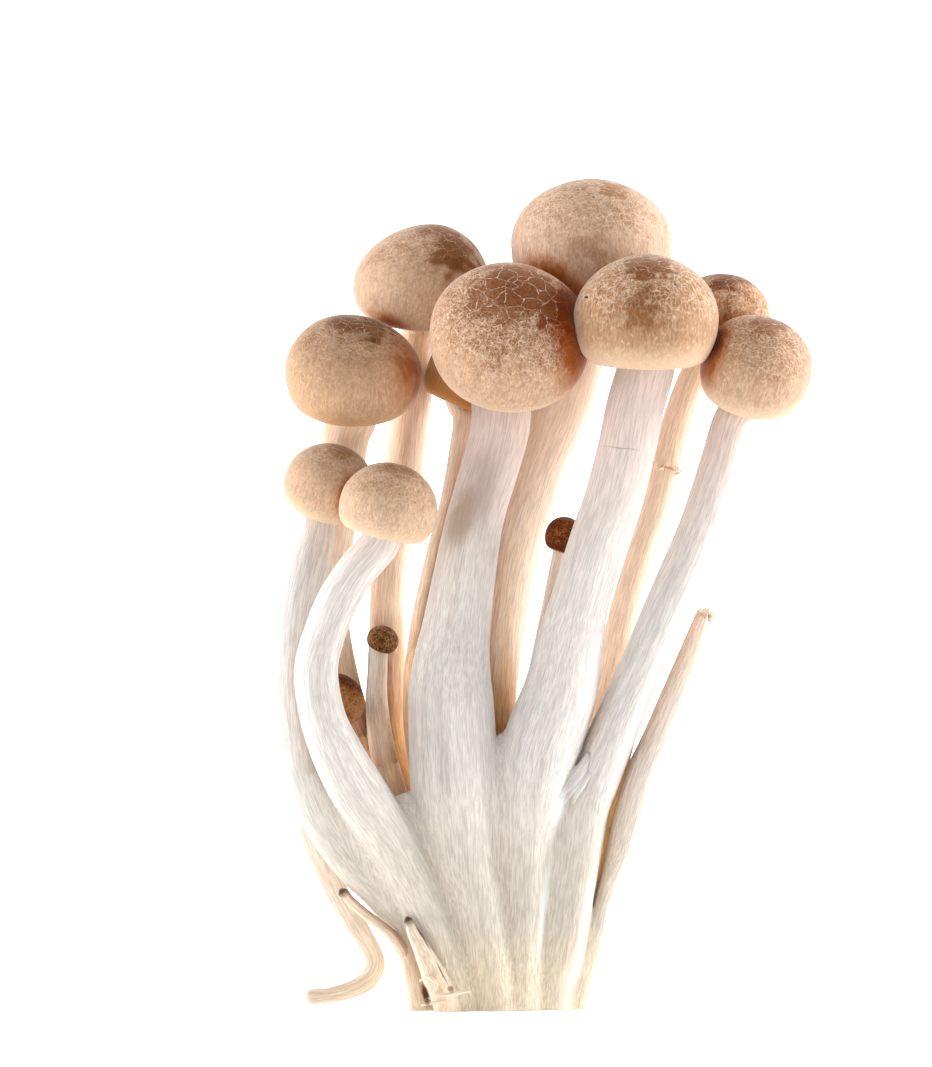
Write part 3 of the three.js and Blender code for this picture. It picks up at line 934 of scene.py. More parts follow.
@dataclass
class Stem:
    """A stem above the foot, made of one stretch of strand or more."""

    name: str
    stretches: list[tuple[Strand, float, float | None]]  # strand, height of its start, height of its end
    neighbours: list[Strand]
    outlook: float = 4.0  # distance within which a neighbour shuts it in and adds painted crease shade

    def build(self, material: Material) -> Piece:
        """Makes the stem.

        Args:
            material: Its finish.

        Returns:
            The object.
        """
        points, faces, grain, warmth_and_shade, close = [], [], [], [], []
        start = 0
        for strand, low, high in self.stretches:
            end = strand.run[-1] if high is None else strand.reach(high)
            tube = strand.tube(strand.reach(low), end, sink_start=True, sink_end=high is not None)
            if strand.ending is Ending.TORN:
                tube = torn(strand, tube)
            if strand.ending is Ending.DARK_TIP:
                tube = rounded(strand, tube)
            centre = strand.sample(tube.length, strand.line[:, :3])
            outward = tube.points - centre
            distance = np.linalg.norm(outward, axis=1)
            outward /= np.maximum(distance, TINY)[:, None]
            points.append(tube.points)
            faces += [tuple(number + start for number in face) for face in tube.faces]
            start += len(tube.points)
            grain.append(strand.grain(tube.length, tube.angle, distance))
            warmth_and_shade.append(strand.tone(tube.length, outward))
            others = [other for other in self.neighbours if other is not strand]
            close.append(crease_shade(tube.points, outward, others, self.outlook))
        values = {
            "grain": np.vstack(grain), "warmth_and_shade": np.concatenate(warmth_and_shade), "crease_shade": np.concatenate(close),
        }
        if self.stretches[0][0].ending is Ending.DARK_TIP:
            values["tip"] = smooth_step(self.stretches[0][0].run[-1] - tube.length, 1.6, 0.5)
        return new_piece(f"{self.name}_flesh", np.vstack(points), faces, values, material)


def torn(strand: Strand, tube: Tube) -> Tube:
    """Tears a tube's end into a ragged point."""
    random = np.random.default_rng(strand.seed + 7)
    left = strand.run[-1] - tube.length
    end = smooth_step(left, 2.6, 0)
    jag = np.zeros(len(tube.points))
    for count in (1, 2, 5, 9, 14):
        jag += np.sin(count * tube.angle + random.uniform(0, PHASES)) / count ** 0.7
    along = strand.sample(tube.length, strand.along)
    points = tube.points + along * (jag * end * 0.55)[:, None]
    return Tube(points, tube.faces, tube.angle, tube.length)


def rounded(strand: Strand, tube: Tube) -> Tube:
    """Rounds a tube's end over into a small knob."""
    reach = strand.line[-1, 3]
    left = np.clip((strand.run[-1] - tube.length) / reach, 0, 1)
    scale = np.sqrt(np.clip(1 - (1 - left) ** 2, 0.0, 1))
    centre = strand.sample(tube.length, strand.line[:, :3])
    points = centre + (tube.points - centre) * np.maximum(scale, 0.25)[:, None]
    return Tube(points, tube.faces, tube.angle, tube.length)


@dataclass(frozen=True)
class Fray:
    """A tuft of short fibres that stand out from a tear."""

    place: Triple
    way: Triple
    count: int
    length: float
    radius: float
    width: float  # how far the roots lie apart
    spread: float  # how far the fibres turn from the common way
    seed: int
    taper: tuple[Pair, ...] = ((0.0, 1.0), (0.35, 0.95), (0.7, 0.6), (1.0, 0.2))  # length run, thickness left

    def lines(self) -> list[list[Station]]:
        """The fibres' stations.

        Returns:
            One list a fibre.
        """
        random = np.random.default_rng(self.seed)
        fibres = []
        for _ in range(self.count):
            root = np.array(self.place) + random.uniform(-1, 1, 3) * self.width * np.array([1, 0.3, 0.6])
            way = np.array(self.way) + random.normal(size=3) * self.spread * 0.6
            way /= np.linalg.norm(way)
            bend = random.normal(size=3) * self.spread * 0.5
            length = self.length * random.uniform(0.45, 1.1)
            thick = self.radius * random.uniform(0.5, 1.2)
            stations = []
            for share, size in self.taper:
                spot = root + (way * share + bend * share ** 2) * length
                stations.append((*spot, thick * size))
            fibres.append(stations)
        return fibres


@dataclass
class Fibres:
    """Loose fibres as thin closed rods, each through stations [x, y, z, radius]."""

    name: str
    lines: list[list[Station]]
    warmth_and_shade: float = 0.4
    sides: int = 8
    flatness: float = 1.0  # thickness across, as a share of the width
    spacing: float = 0.3  # between two rings
    ridge: float = 0.3
    first_seed: int = 300

    def build(self, material: Material) -> Piece:
        """Makes all the fibres as one mesh.

        Args:
            material: Their finish.

        Returns:
            The object.
        """
        points, faces, grain = [], [], []
        start = 0
        for number, stations in enumerate(self.lines):
            seed = self.first_seed + number
            strand = Strand(self.name, stations, 0, seed, sides=self.sides, ridge=self.ridge)
            count = max(5, round(strand.run[-1] / self.spacing))
            lengths = np.linspace(0, strand.run[-1], count)
            skin, angle, length = strand.skin(lengths, np.ones(count))
            centre = np.repeat(strand.sample(lengths, strand.line[:, :3]), self.sides, axis=0)
            offset = skin - centre
            offset[:, 1] *= self.flatness
            skin = centre + offset
            ends = strand.sample(lengths[[0, -1]], strand.line[:, :3])
            points.append(np.vstack([skin, ends]))
            faces += [tuple(row + start for row in face) for face in wrapped_faces(count, self.sides)]
            total = len(skin) + len(ends)
            start += total
            grain.append(strand.grain(np.append(length, [0, 0]), np.append(angle, [0, 0]), np.ones(total)))
        values = {
            "grain": np.vstack(grain), "warmth_and_shade": np.full(start, self.warmth_and_shade), "crease_shade": np.zeros(start),
        }
        return new_piece(self.name, np.vstack(points), faces, values, material)


class Nodes:
    """Adds nodes to one node tree and links them."""

    def __init__(self, tree: bpy.types.NodeTree) -> None:
        """Starts on a tree.

        Args:
            tree: The tree that takes the nodes.
        """
        self.tree = tree

    def feed(self, socket: Socket, source: object) -> None:
        """Links a socket to another, or sets its value."""
        if isinstance(source, Socket):
            self.tree.links.new(source, socket)
        else:
            socket.default_value = source

    def add(self, kind: str, inputs: dict[str | int, object] | None = None, **settings: object) -> Node:
        """Adds a node.

        Args:
            kind: The node's type, without its ShaderNode beginning.
            inputs: Sockets or values, by the input's name or number.
            settings: Properties of the node.

        Returns:
            The node.
        """
        node = self.tree.nodes.new("ShaderNode" + kind)
        for name, value in settings.items():
            setattr(node, name, value)
        for name, source in (inputs or {}).items():
            self.feed(node.inputs[name], source)
        return node

    def value(self, name: str) -> Socket:
        """A number that the mesh carries under a name."""
        return self.add("Attribute", attribute_name=name).outputs["Fac"]

    def vector(self, name: str) -> Socket:
        """Three numbers that the mesh carries under a name."""
        return self.add("Attribute", attribute_name=name).outputs["Vector"]

    def spot(self) -> Socket:
        """Where a point of the surface lies, in metres."""
        return self.add("TexCoord").outputs["Object"]

    def parts(self, vector: object) -> list[Socket]:
        """The three numbers of a vector."""
        return list(self.add("SeparateXYZ", {0: vector}).outputs)

    def math(self, operation: str, first: object, second: object = 0.0, clamp: bool = False) -> Socket:
        """Arithmetic on one or two numbers."""
        return self.add("Math", {0: first, 1: second}, operation=operation, use_clamp=clamp).outputs[0]

    def times(self, first: object, *others: object) -> Socket:
        """The product of numbers."""
        for other in others:
            first = self.math("MULTIPLY", first, other)
        return first

    def ease(self, source: object, low: float, high: float, to: Pair = (0, 1)) -> Socket:
        """Eases a number from low to high into another range."""
        inputs = {"Value": source, "From Min": low, "From Max": high, "To Min": to[0], "To Max": to[1]}
        return self.add("MapRange", inputs, interpolation_type="SMOOTHSTEP").outputs[0]

    def mix(self, share: object, first: object, second: object, blend: str = "MIX") -> Socket:
        """Mixes two colours."""
        node = self.add("Mix", {0: share, 6: first, 7: second}, data_type="RGBA", blend_type=blend)
        return node.outputs[2]

    def mix_value(self, share: object, first: object, second: object) -> Socket:
        """Mixes two numbers."""
        return self.add("Mix", {0: share, 2: first, 3: second}, data_type="FLOAT").outputs[0]

    def toned(self, colour: object, factor: object) -> Socket:
        """A colour made darker or lighter by a factor."""
        grey = self.add("CombineColor", {0: factor, 1: factor, 2: factor}).outputs[0]
        return self.mix(1.0, colour, grey, "MULTIPLY")

    def scaled(self, vector: object, scale: Triple, offset: Triple = (0, 0, 0)) -> Socket:
        """Stretches and shifts coordinates."""
        return self.add("Mapping", {"Vector": vector, "Scale": scale, "Location": offset}).outputs[0]

    def noise(self, vector: object, scale: float, detail: float = 2.0, rough: float = 0.5) -> Socket:
        """Soft random values from 0 to 1."""
        inputs = {"Vector": vector, "Scale": scale, "Detail": detail, "Roughness": rough}
        return self.add("TexNoise", inputs).outputs["Fac"]


class Effects:
    """Shader node groups that several finishes share, each built once."""

    # stretch and scale of the flesh's broad bands, fine threads and short strokes
    fibres = (((1, 1, 0.05), 0.7), ((1, 1, 0.045), 6.4), ((1, 1, 0.09), 4.6))

    def __init__(self) -> None:
        """Builds the groups."""
        self.warp = self.make_warp()
        self.net = self.make_net()
        self.grain = self.make_grain()

    @staticmethod
    def start(name: str, inputs: dict[str, tuple[str, object]], outputs: dict[str, str]) -> tuple[
            bpy.types.NodeTree, Nodes, Node, Node]:
        """Opens a node group.

        Args:
            name: The group's name.
            inputs: Kind and first value of each input.
            outputs: Kind of each output.

        Returns:
            The group, its nodes, and its input and output nodes.
        """
        tree = bpy.data.node_groups.new(name, "ShaderNodeTree")
        for label, (kind, value) in inputs.items():
            socket = tree.interface.new_socket(label, in_out="INPUT", socket_type="NodeSocket" + kind)
            if value is not None:
                socket.default_value = value
        for label, kind in outputs.items():
            tree.interface.new_socket(label, in_out="OUTPUT", socket_type="NodeSocket" + kind)
        return tree, Nodes(tree), tree.nodes.new("NodeGroupInput"), tree.nodes.new("NodeGroupOutput")

    def make_warp(self) -> bpy.types.NodeTree:
        """A group that bends coordinates, so that no line stays straight."""
        inputs = {"Vector": ("Vector", None), "Scale": ("Float", 1.0), "Amount": ("Float", 0.5)}
        tree, nodes, source, result = self.start("Bent Coordinates", inputs, {"Vector": "Vector"})
        noise = nodes.add(
            "TexNoise", {"Vector": source.outputs[0], "Scale": source.outputs[1], "Detail": 3.0})
        centred = nodes.add("VectorMath", {0: noise.outputs["Color"], 1: (0.5,) * 3}, operation="SUBTRACT")
        sized = nodes.add(
            "VectorMath", {0: centred.outputs[0], "Scale": source.outputs[2]}, operation="SCALE")
        moved = nodes.add("VectorMath", {0: source.outputs[0], 1: sized.outputs[0]}, operation="ADD")
        nodes.feed(result.inputs[0], moved.outputs[0])
        return tree

    def make_net(self) -> bpy.types.NodeTree:
        """A group for a skin that has split into plates: the pale lines between them, and a tone for each."""
        inputs = {"Vector": ("Vector", None), "Plates": ("Float", 1.0), "Line": ("Float", 0.08)}
        tree, nodes, source, result = self.start("Split Skin", inputs, {"Lines": "Float", "Plate": "Float"})
        cells = {"Vector": source.outputs[0], "Scale": source.outputs[1]}
        edge = nodes.add("TexVoronoi", cells, feature="DISTANCE_TO_EDGE")
        plate = nodes.add("TexVoronoi", cells)
        share = nodes.math("DIVIDE", edge.outputs["Distance"], source.outputs[2])
        nodes.feed(result.inputs[0], nodes.math("SUBTRACT", 1.0, nodes.ease(share, 0.25, 1.0)))
        tone = nodes.add("SeparateColor", {0: plate.outputs["Color"]})
        nodes.feed(result.inputs[1], tone.outputs[0])
        return tree

    def make_grain(self) -> bpy.types.NodeTree:
        """A group for lengthwise fibres: broad bands, fine threads and short strokes."""
        inputs = {"Vector": ("Vector", None), "Fineness": ("Float", 1.0)}
        outputs = {"Bands": "Float", "Threads": "Float", "Strokes": "Float"}
        tree, nodes, source, result = self.start("Fibre Grain", inputs, outputs)
        sized = nodes.add("VectorMath", {0: source.outputs[0], "Scale": source.outputs[1]}, operation="SCALE")
        for number, (stretch, scale) in enumerate(self.fibres):
            stretched = nodes.scaled(sized.outputs[0], stretch, (number * 7.3, 0, number * 3.1))
            nodes.feed(result.inputs[number], nodes.noise(stretched, scale, 3.0, 0.55))
        return tree


def new_material(
    name: str, constants: dict[str, object] | None = None,
) -> tuple[Material, Nodes, Node]:
    """Makes a material.

    Args:
        name: Its name.
        constants: Those of the shader's inputs that are the same all over the surface.

    Returns:
        The material, its nodes and its Principled shader.
    """
    material = bpy.data.materials.new(name)
    material.use_nodes = True
    shader = material.node_tree.nodes["Principled BSDF"]
    for label, value in (constants or {}).items():
        shader.inputs[label].default_value = value
    return material, Nodes(material.node_tree), shader


ENDLESS = 1000.0  # a mark's size from front to back, so that its depth alone limits it


@dataclass(frozen=True)
class Mark:
    """A crack, a bruise, a patch of painted shade or a painted highlight on the viewer's side of the flesh,
    in millimetres.
    """

    place: Pair  # across and up
    half_length: float
    half_width: float
    tilt: float  # degrees, up to the right
    colour: Colour
    strength: float
    front: float  # only flesh in front of this depth carries it
    bend: float = 0.6  # how far its edge wanders
    edge: float = 0.3  # share of its size at which it reaches its full strength
    waves: float = 700.0  # waves of its edge in a metre

    def mask(self, nodes: Nodes, effects: Effects) -> Socket:
        """Where the mark shows.

        Args:
            nodes: The material's nodes.
            effects: The shared effects.

        Returns:
            A number from 0 to the mark's strength.
        """
        spot = nodes.spot()
        warped = {"Vector": spot, "Scale": self.waves, "Amount": self.bend * METRES}
        bent = nodes.add("Group", node_tree=effects.warp)
        for label, source in warped.items():
            nodes.feed(bent.inputs[label], source)
        across, height = self.place
        own = nodes.add("Mapping", {
            "Vector": bent.outputs[0],
            "Location": (across * METRES, 0, height * METRES),
            "Rotation": (0, -math.radians(self.tilt), 0),
            "Scale": (self.half_length * METRES, ENDLESS, self.half_width * METRES),
        }, vector_type="TEXTURE")
        away = nodes.add("VectorMath", {0: own.outputs[0]}, operation="LENGTH").outputs["Value"]
        near = nodes.math("LESS_THAN", nodes.parts(spot)[1], self.front * METRES)
        return nodes.times(near, nodes.ease(away, 1.0, self.edge, (0.0, self.strength)))


BROWN = shade(96, 58, 30)
FLESH_MARKS_AND_PAINTED_LIGHT = (
    Mark((16.9, 78.2), 3.3, 0.14, -6, shade(166, 142, 130), 0.7, -9.0, 0.35),
    Mark((23.7, 75.5), 1.9, 0.18, -18, shade(222, 156, 104), 0.85, 4.0, 0.5),
    Mark((-5.4, 68.6), 6.2, 2.3, 72, shade(168, 144, 114), 0.65, -4.0, 1.2, 0.3),
    # painted shade on the upper centre stem under the caps
    Mark((-2.4, 72.5), 9.5, 3.0, 76, shade(184, 160, 148), 0.65, -3.0, 1.2, 0.1),
    # painted shade on the right strand where the torn flap meets it
    Mark((9.3, 30.6), 3.0, 1.2, 50, shade(206, 198, 198), 0.7, -1.0, 1.6, 0.4),
    # painted shade: two thin dark lines in the crease along the front pin's right side
    Mark((-10.8, 10.4), 3.0, 0.18, -58, BROWN, 0.95, -7.0, 0.15),
    Mark((-8.1, 5.4), 2.4, 0.15, -62, BROWN, 0.85, -7.0, 0.2),
    Mark((-10.4, 2.2), 2.2, 0.75, -74, BROWN, 1.0, -6.0, 0.5),
    Mark((-6.9, 3.2), 0.7, 0.5, -50, BROWN, 0.75, -8.0, 0.6),
    # painted highlight: white strips down the bright right flank of the right_centre strand
    Mark((8.2, 29.0), 5.0, 1.3, 84, shade(255, 255, 255), 0.9, -1.0, 0.5, 0.1),
    Mark((6.1, 14.5), 11.5, 0.7, 83, shade(255, 255, 252), 0.9, -1.0, 0.5, 0.1),
)


@dataclass(frozen=True)
class FleshFinish:
    """The fibrous flesh of the stems and the foot."""

    name: str
    white: Colour = shade(238, 233, 227)
    grey_band: Colour = shade(220, 212, 206)
    # top: painted shade, darker and pinker, on the upper stems under the caps
    top: Colour = shade(228, 203, 192)
    foot: Colour = shade(224, 215, 200)
    cream: Colour = shade(248, 232, 206)
    # warm: the peach of the back stems, partly the flesh's own colour and partly painted shade
    warm: Colour = shade(251, 226, 202)
    # amber: mostly painted shade on the back stems deep in the cluster, partly the flesh's own colour
    amber: Colour = shade(234, 174, 98)
    # deep: painted shade, amber, in the creases between strands
    deep: Colour = shade(176, 110, 48)
    dark: Colour = shade(88, 52, 20)
    under_cap_shade_zone: Pair = (0.055, 0.085)  # heights, in metres, between which the painted shade under the caps comes in on the stems
    foot_zone: Pair = (0.036, 0.018)
    cut_zone: Pair = (0.014, 0.003)
    roughness: float = 0.62
    fibre_depth: float = 0.00014
    softness: float = 0.2  # how much light goes through the surface
    marks: tuple[Mark, ...] = FLESH_MARKS_AND_PAINTED_LIGHT

    def make(self, effects: Effects) -> Material:
        """Builds the material.

        Args:
            effects: The shared effects.

        Returns:
            The material.
        """
        material, nodes, shader = new_material(self.name, {
            "Specular IOR Level": 0.3, "Sheen Weight": 0.45, "Sheen Roughness": 0.4,
            "Subsurface Weight": self.softness, "Subsurface Radius": (1.0, 0.6, 0.35),
            "Subsurface Scale": 0.0009,
        })
        own = nodes.add("Group", {"Vector": nodes.vector("grain")}, node_tree=effects.grain)
        fanned = nodes.add("Group", {"Vector": self.fan(nodes)}, node_tree=effects.grain)
        fan = nodes.value("fan")
        bands, threads, strokes = [
            nodes.mix_value(fan, own.outputs[kind], fanned.outputs[kind])
            for kind in ("Bands", "Threads", "Strokes")
        ]
        height = nodes.parts(nodes.spot())[2]
        colour = nodes.mix(nodes.ease(bands, 0.3, 0.75), self.white, self.grey_band)
        colour = nodes.mix(nodes.ease(height, *self.under_cap_shade_zone, (0.0, 0.75)), colour, self.top)
        colour = nodes.mix(nodes.ease(height, *self.foot_zone, (0.0, 0.9)), colour, self.foot)
        colour = nodes.mix(nodes.ease(height, *self.cut_zone), colour, self.cream)
        warmth_and_shade = nodes.value("warmth_and_shade")
        swing = nodes.ease(bands, 0.3, 0.7, (0.78, 1.14))
        warmth_and_shade = nodes.times(warmth_and_shade, nodes.mix_value(nodes.ease(warmth_and_shade, 0.6, 0.95), swing, 1.0))
        colour = nodes.mix(nodes.ease(warmth_and_shade, 0.0, 0.6), colour, self.warm)
        colour = nodes.mix(nodes.ease(warmth_and_shade, 0.62, 1.0), colour, self.amber)
        # painted crease shade where strands close in
        shut = nodes.times(nodes.value("crease_shade"), nodes.ease(strokes, 0.2, 0.7, (0.7, 1.0)),
                           nodes.ease(warmth_and_shade, 0.0, 0.8, (0.3, 1.0)))
        colour = nodes.mix(shut, colour, self.deep)
        mixed = nodes.math("ADD", nodes.times(threads, 0.55), nodes.times(strokes, 0.45))
        colour = nodes.toned(colour, nodes.ease(mixed, 0.38, 0.62, (1.09, 0.8)))
        for mark in self.marks:
            colour = nodes.mix(mark.mask(nodes, effects), colour, mark.colour)
        colour = nodes.mix(nodes.value("tip"), colour, self.dark)
        nodes.feed(shader.inputs["Base Color"], colour)
        rough = nodes.ease(strokes, 0.2, 0.8, (self.roughness - 0.1, self.roughness + 0.1))
        nodes.feed(shader.inputs["Roughness"], rough)
        relief = nodes.math("ADD", nodes.times(threads, 0.7), strokes)
        bump = nodes.add("Bump", {"Height": relief, "Distance": self.fibre_depth, "Strength": 1.0})
        nodes.feed(shader.inputs["Normal"], bump.outputs[0])
        return material

    @staticmethod
    def fan(nodes: Nodes) -> Socket:
        """Coordinates, in millimetres, that spread upwards with the fibres of the foot."""
        across, deep, height = nodes.parts(nodes.spot())
        wider = nodes.math("ADD", nodes.times(height, 18.0), 1.0)
        narrowed = nodes.add("CombineXYZ", {
            0: nodes.math("DIVIDE", across, wider), 1: nodes.math("DIVIDE", deep, wider), 2: height})
        sized = nodes.add("VectorMath", {0: narrowed.outputs[0], "Scale": 1 / METRES}, operation="SCALE")
        return sized.outputs[0]


@dataclass(frozen=True)
class SkinMap:
    """What a cap's skin is drawn from: where a point lies, zones from 0 to 1, nets and soft noise."""

    around: Socket  # coordinates on the skin, in millimetres
    place: Socket  # distance from the crown, made uneven, 1 where the cap is widest
    bare: Socket  # the smooth crown and the stains
    covered: Socket  # the rest, where the fine nets show
    ring: Socket  # the split skin round the crown
    plates: Node
    cells: Node
    grains: Node
    grit: Socket
    blotch: Socket


@dataclass(frozen=True)
class CapFinish:
    """The brown skin of a cap, with plates on its crown, fine radial streaks and a cream margin."""

    cap: str
    crown: Colour
    plate: Colour
    side: Colour
    low: Colour
    line: Colour = shade(242, 212, 188)
    margin: Colour = shade(240, 210, 178)
    under: Colour = shade(240, 222, 190)
    crown_reach: float = 0.45
    net_reach: float = 0.9
    plate_size: float = 3.0
    mesh_size: float = 0.75
    contact_shade_tint: Colour = shade(218, 148, 82)  # painted shade: darkens and warms the skin towards a cap close by
    # painted shade, dark amber, where caps all but touch
    contact_shade_dark: Colour = shade(124, 58, 6)
    contrast: float = 1.0
    netting: float = 0.65  # how clearly the net of pale lines shows
    down: float = 0.3  # how pale the skin's fine down makes its outline
    roughness: float = 0.55
    grit_depth: float = 0.00009
    speck: Triple | None = None  # across, the depth that it must lie in front of, and up, in millimetres
    speck_radius: float = 0.2

    def make(self, effects: Effects) -> Material:
        """Builds the material.

        Args:
            effects: The shared effects.

        Returns:
            The material.
        """
        material, nodes, shader = new_material(f"cap skin {self.cap.replace('_', ' ')}", {
            "Specular IOR Level": 0.05, "Sheen Weight": self.down, "Sheen Roughness": 0.35,
            "Sheen Tint": shade(255, 240, 228), "Subsurface Weight": 0.08,
            "Subsurface Radius": (1.0, 0.45, 0.2), "Subsurface Scale": 0.0005,
        })
        skin = self.chart(nodes, effects)
        lines = self.lines(nodes, skin)
        colour = nodes.mix(nodes.times(lines, self.contrast), self.ground(nodes, skin), self.line)
        colour = self.edges(nodes, skin, nodes.toned(colour, self.tone(nodes, skin)))
        if self.speck:
            colour = nodes.mix(self.speck_mask(nodes), colour, shade(30, 22, 18))
        nodes.feed(shader.inputs["Base Color"], colour)
        rough = nodes.ease(skin.grit, 0.3, 0.7, (self.roughness - 0.1, self.roughness + 0.1))
        nodes.feed(shader.inputs["Roughness"], rough)
        relief = nodes.math("SUBTRACT", nodes.times(skin.grit, 0.8), nodes.times(lines, 0.25))
        bump = nodes.add("Bump", {"Height": relief, "Distance": self.grit_depth, "Strength": 1.0})
        nodes.feed(shader.inputs["Normal"], bump.outputs[0])
        return material

    def chart(self, nodes: Nodes, effects: Effects) -> SkinMap:
        """Lays out the zones, nets and noise of the skin.

        Args:
            nodes: The material's nodes.
            effects: The shared effects.

        Returns:
            Their sockets and nodes.
        """
        around = nodes.vector("around")
        uneven = nodes.times(nodes.math("SUBTRACT", nodes.noise(around, 0.3, 2.0), 0.5), 0.45)
        place = nodes.math("ADD", nodes.value("reach"), uneven)
        crown = nodes.ease(place, self.crown_reach + 0.2, self.crown_reach - 0.15)
        bare = nodes.math("MAXIMUM", crown, nodes.value("stain_and_shade"), True)
        return SkinMap(
            around=around,
            place=place,
            bare=bare,
            covered=nodes.ease(bare, 0.2, 0.9, (1.0, 0.16)),
            ring=nodes.ease(place, self.net_reach + 0.4, self.net_reach - 0.1),
            plates=self.net(nodes, effects, around, (1, 1, 0.9), self.plate_size, 0.032, 2.0),
            cells=self.net(nodes, effects, around, (1, 1, 0.7), self.mesh_size, 0.1, 0.7),
            grains=self.net(nodes, effects, around, (1, 1, 0.3), self.mesh_size * 0.6, 0.15, 0.4),
            grit=nodes.noise(nodes.scaled(around, (1, 1, 0.5)), 3.6, 4.0, 0.7),
            blotch=nodes.noise(nodes.scaled(around, (1, 1, 0.7)), 0.45, 3.0, 0.6),
        )

    def ground(self, nodes: Nodes, skin: SkinMap) -> Socket:
        """The skin's colour under its net.

        Args:
            nodes: The material's nodes.
            skin: The skin's zones, nets and noise.

        Returns:
            The colour.
        """
        colour = nodes.mix(nodes.ease(skin.place, self.crown_reach, 1.15), self.side, self.low)
        darker = nodes.times(skin.cells.outputs["Plate"], nodes.ease(skin.ring, 0.0, 1.0, (0.06, 0.4)))
        blotched = nodes.times(nodes.ease(skin.blotch, 0.46, 0.7, (0.0, 0.6)), skin.ring)
        colour = nodes.mix(nodes.math("ADD", darker, blotched, True), colour, self.plate)
        crown = nodes.mix(nodes.times(skin.plates.outputs["Plate"], 0.55), self.crown, self.plate)
        return nodes.mix(skin.bare, colour, crown)

    def lines(self, nodes: Nodes, skin: SkinMap) -> Socket:
        """The pale lines between plates, cells and grains.

        Args:
            nodes: The material's nodes.
            skin: The skin's zones, nets and noise.

        Returns:
            A number from 0 to 1.
        """
        wide = nodes.times(
            nodes.ease(skin.place, self.crown_reach + 0.55, self.crown_reach + 0.15),
            nodes.ease(nodes.noise(skin.around, 2.0, 3.0), 0.38, 0.6, (0.15, 0.88)),
            skin.plates.outputs["Lines"])
        mesh = nodes.times(
            nodes.ease(nodes.noise(skin.around, 1.1, 3.0), 0.38, 0.6, (0.05, 1.0)),
            skin.cells.outputs["Lines"], skin.ring)
        fine = nodes.times(
            nodes.ease(nodes.noise(skin.around, 1.6, 2.0), 0.36, 0.6, (0.15, 1.0)),
            nodes.ease(skin.place, self.net_reach - 0.2, 1.2, (0.75, 0.3)),
            skin.grains.outputs["Lines"])
        narrow = nodes.times(nodes.math("MAXIMUM", mesh, fine), skin.covered, self.netting)
        return nodes.math("MAXIMUM", narrow, wide)

    def tone(self, nodes: Nodes, skin: SkinMap) -> Socket:
        """How much darker or lighter grit, grains and streaks make the skin, with painted shade in its pits.

        Args:
            nodes: The material's nodes.
            skin: The skin's zones, nets and noise.

        Returns:
            A factor for the colour.
        """
        grit = nodes.ease(skin.grit, 0.34, 0.66, (1 - 0.16 * self.contrast, 1 + 0.1 * self.contrast))
        grain = nodes.ease(skin.grains.outputs["Plate"], 0.0, 1.0, (1 - 0.1 * self.contrast, 1.05))
        streak = nodes.noise(nodes.scaled(skin.around, (1, 1, 0.11)), 4.5, 2.0)
        lower = nodes.ease(skin.place, 0.4, 1.1, (0.3, 1.0))
        factor = nodes.times(
            grit, nodes.mix_value(skin.covered, 1.0, grain),
            nodes.mix_value(lower, 1.0, nodes.ease(streak, 0.34, 0.66, (0.9, 1.07))))
        # painted shade in the small pits of the split skin round the crown
        pits = nodes.times(
            nodes.ease(nodes.noise(skin.around, 2.6, 2.0), 0.6, 0.7, (0.0, 0.45 * self.contrast)),
            skin.ring, nodes.ease(skin.bare, 0.0, 1.0, (1.0, 0.4)))
        return nodes.math("SUBTRACT", factor, pits)

    def edges(self, nodes: Nodes, skin: SkinMap, colour: Socket) -> Socket:
        """Adds the cream margin, the underside and the painted shade of the caps close by.

        Args:
            nodes: The material's nodes.
            skin: The skin's zones, nets and noise.
            colour: The skin's colour in the open.

        Returns:
            The colour.
        """
        reach = nodes.value("reach")
        colour = nodes.mix(nodes.ease(reach, 1.12, 1.45, (0.0, 0.6)), colour, self.margin)
        colour = nodes.mix(nodes.ease(reach, 1.5, 1.6), colour, self.under)
        # painted contact shade, broken up by the blotches
        near = nodes.times(nodes.value("contact_shade"), nodes.ease(skin.blotch, 0.3, 0.7, (0.8, 1.2)))
        colour = nodes.mix(nodes.ease(near, 0.0, 0.85), colour, self.contact_shade_tint, "MULTIPLY")
        return nodes.mix(nodes.ease(near, 0.42, 0.95, (0.0, 0.62)), colour, self.contact_shade_dark)

    def speck_mask(self, nodes: Nodes) -> Socket:
        """Where the one dark speck sits on the viewer's side of the cap."""
        across, deep, height = nodes.parts(nodes.spot())
        off_across = nodes.math("SUBTRACT", across, self.speck[0] * METRES)
        off_height = nodes.math("SUBTRACT", height, self.speck[2] * METRES)
        squares = nodes.math("ADD", nodes.times(off_across, off_across), nodes.times(off_height, off_height))
        near = nodes.math("LESS_THAN", nodes.math("SQRT", squares), self.speck_radius * METRES)
        return nodes.times(near, nodes.math("LESS_THAN", deep, self.speck[1] * METRES))

    @staticmethod
    def net(
        nodes: Nodes, effects: Effects, place: object, stretch: Triple, size: float, line: float, bend: float,
    ) -> Node:
        """One net of split skin.

        Args:
            nodes: The material's nodes.
            effects: The shared effects.
            place: Coordinates on the cap, in millimetres.
            stretch: Their stretch, with the way down the cap last.
            size: The size of a plate.
            line: The width of a line, as a share of a plate.
            bend: How far the lines wander, in millimetres.

        Returns:
            The group node.
        """
        bent = nodes.add("Group", node_tree=effects.warp)
        nodes.feed(bent.inputs["Vector"], place)
        bent.inputs["Scale"].default_value = 0.9 / size
        bent.inputs["Amount"].default_value = bend
        group = nodes.add("Group", node_tree=effects.net)
        nodes.feed(group.inputs["Vector"], nodes.scaled(bent.outputs[0], stretch))
        group.inputs["Plates"].default_value = 1 / size
        group.inputs["Line"].default_value = line
        return group


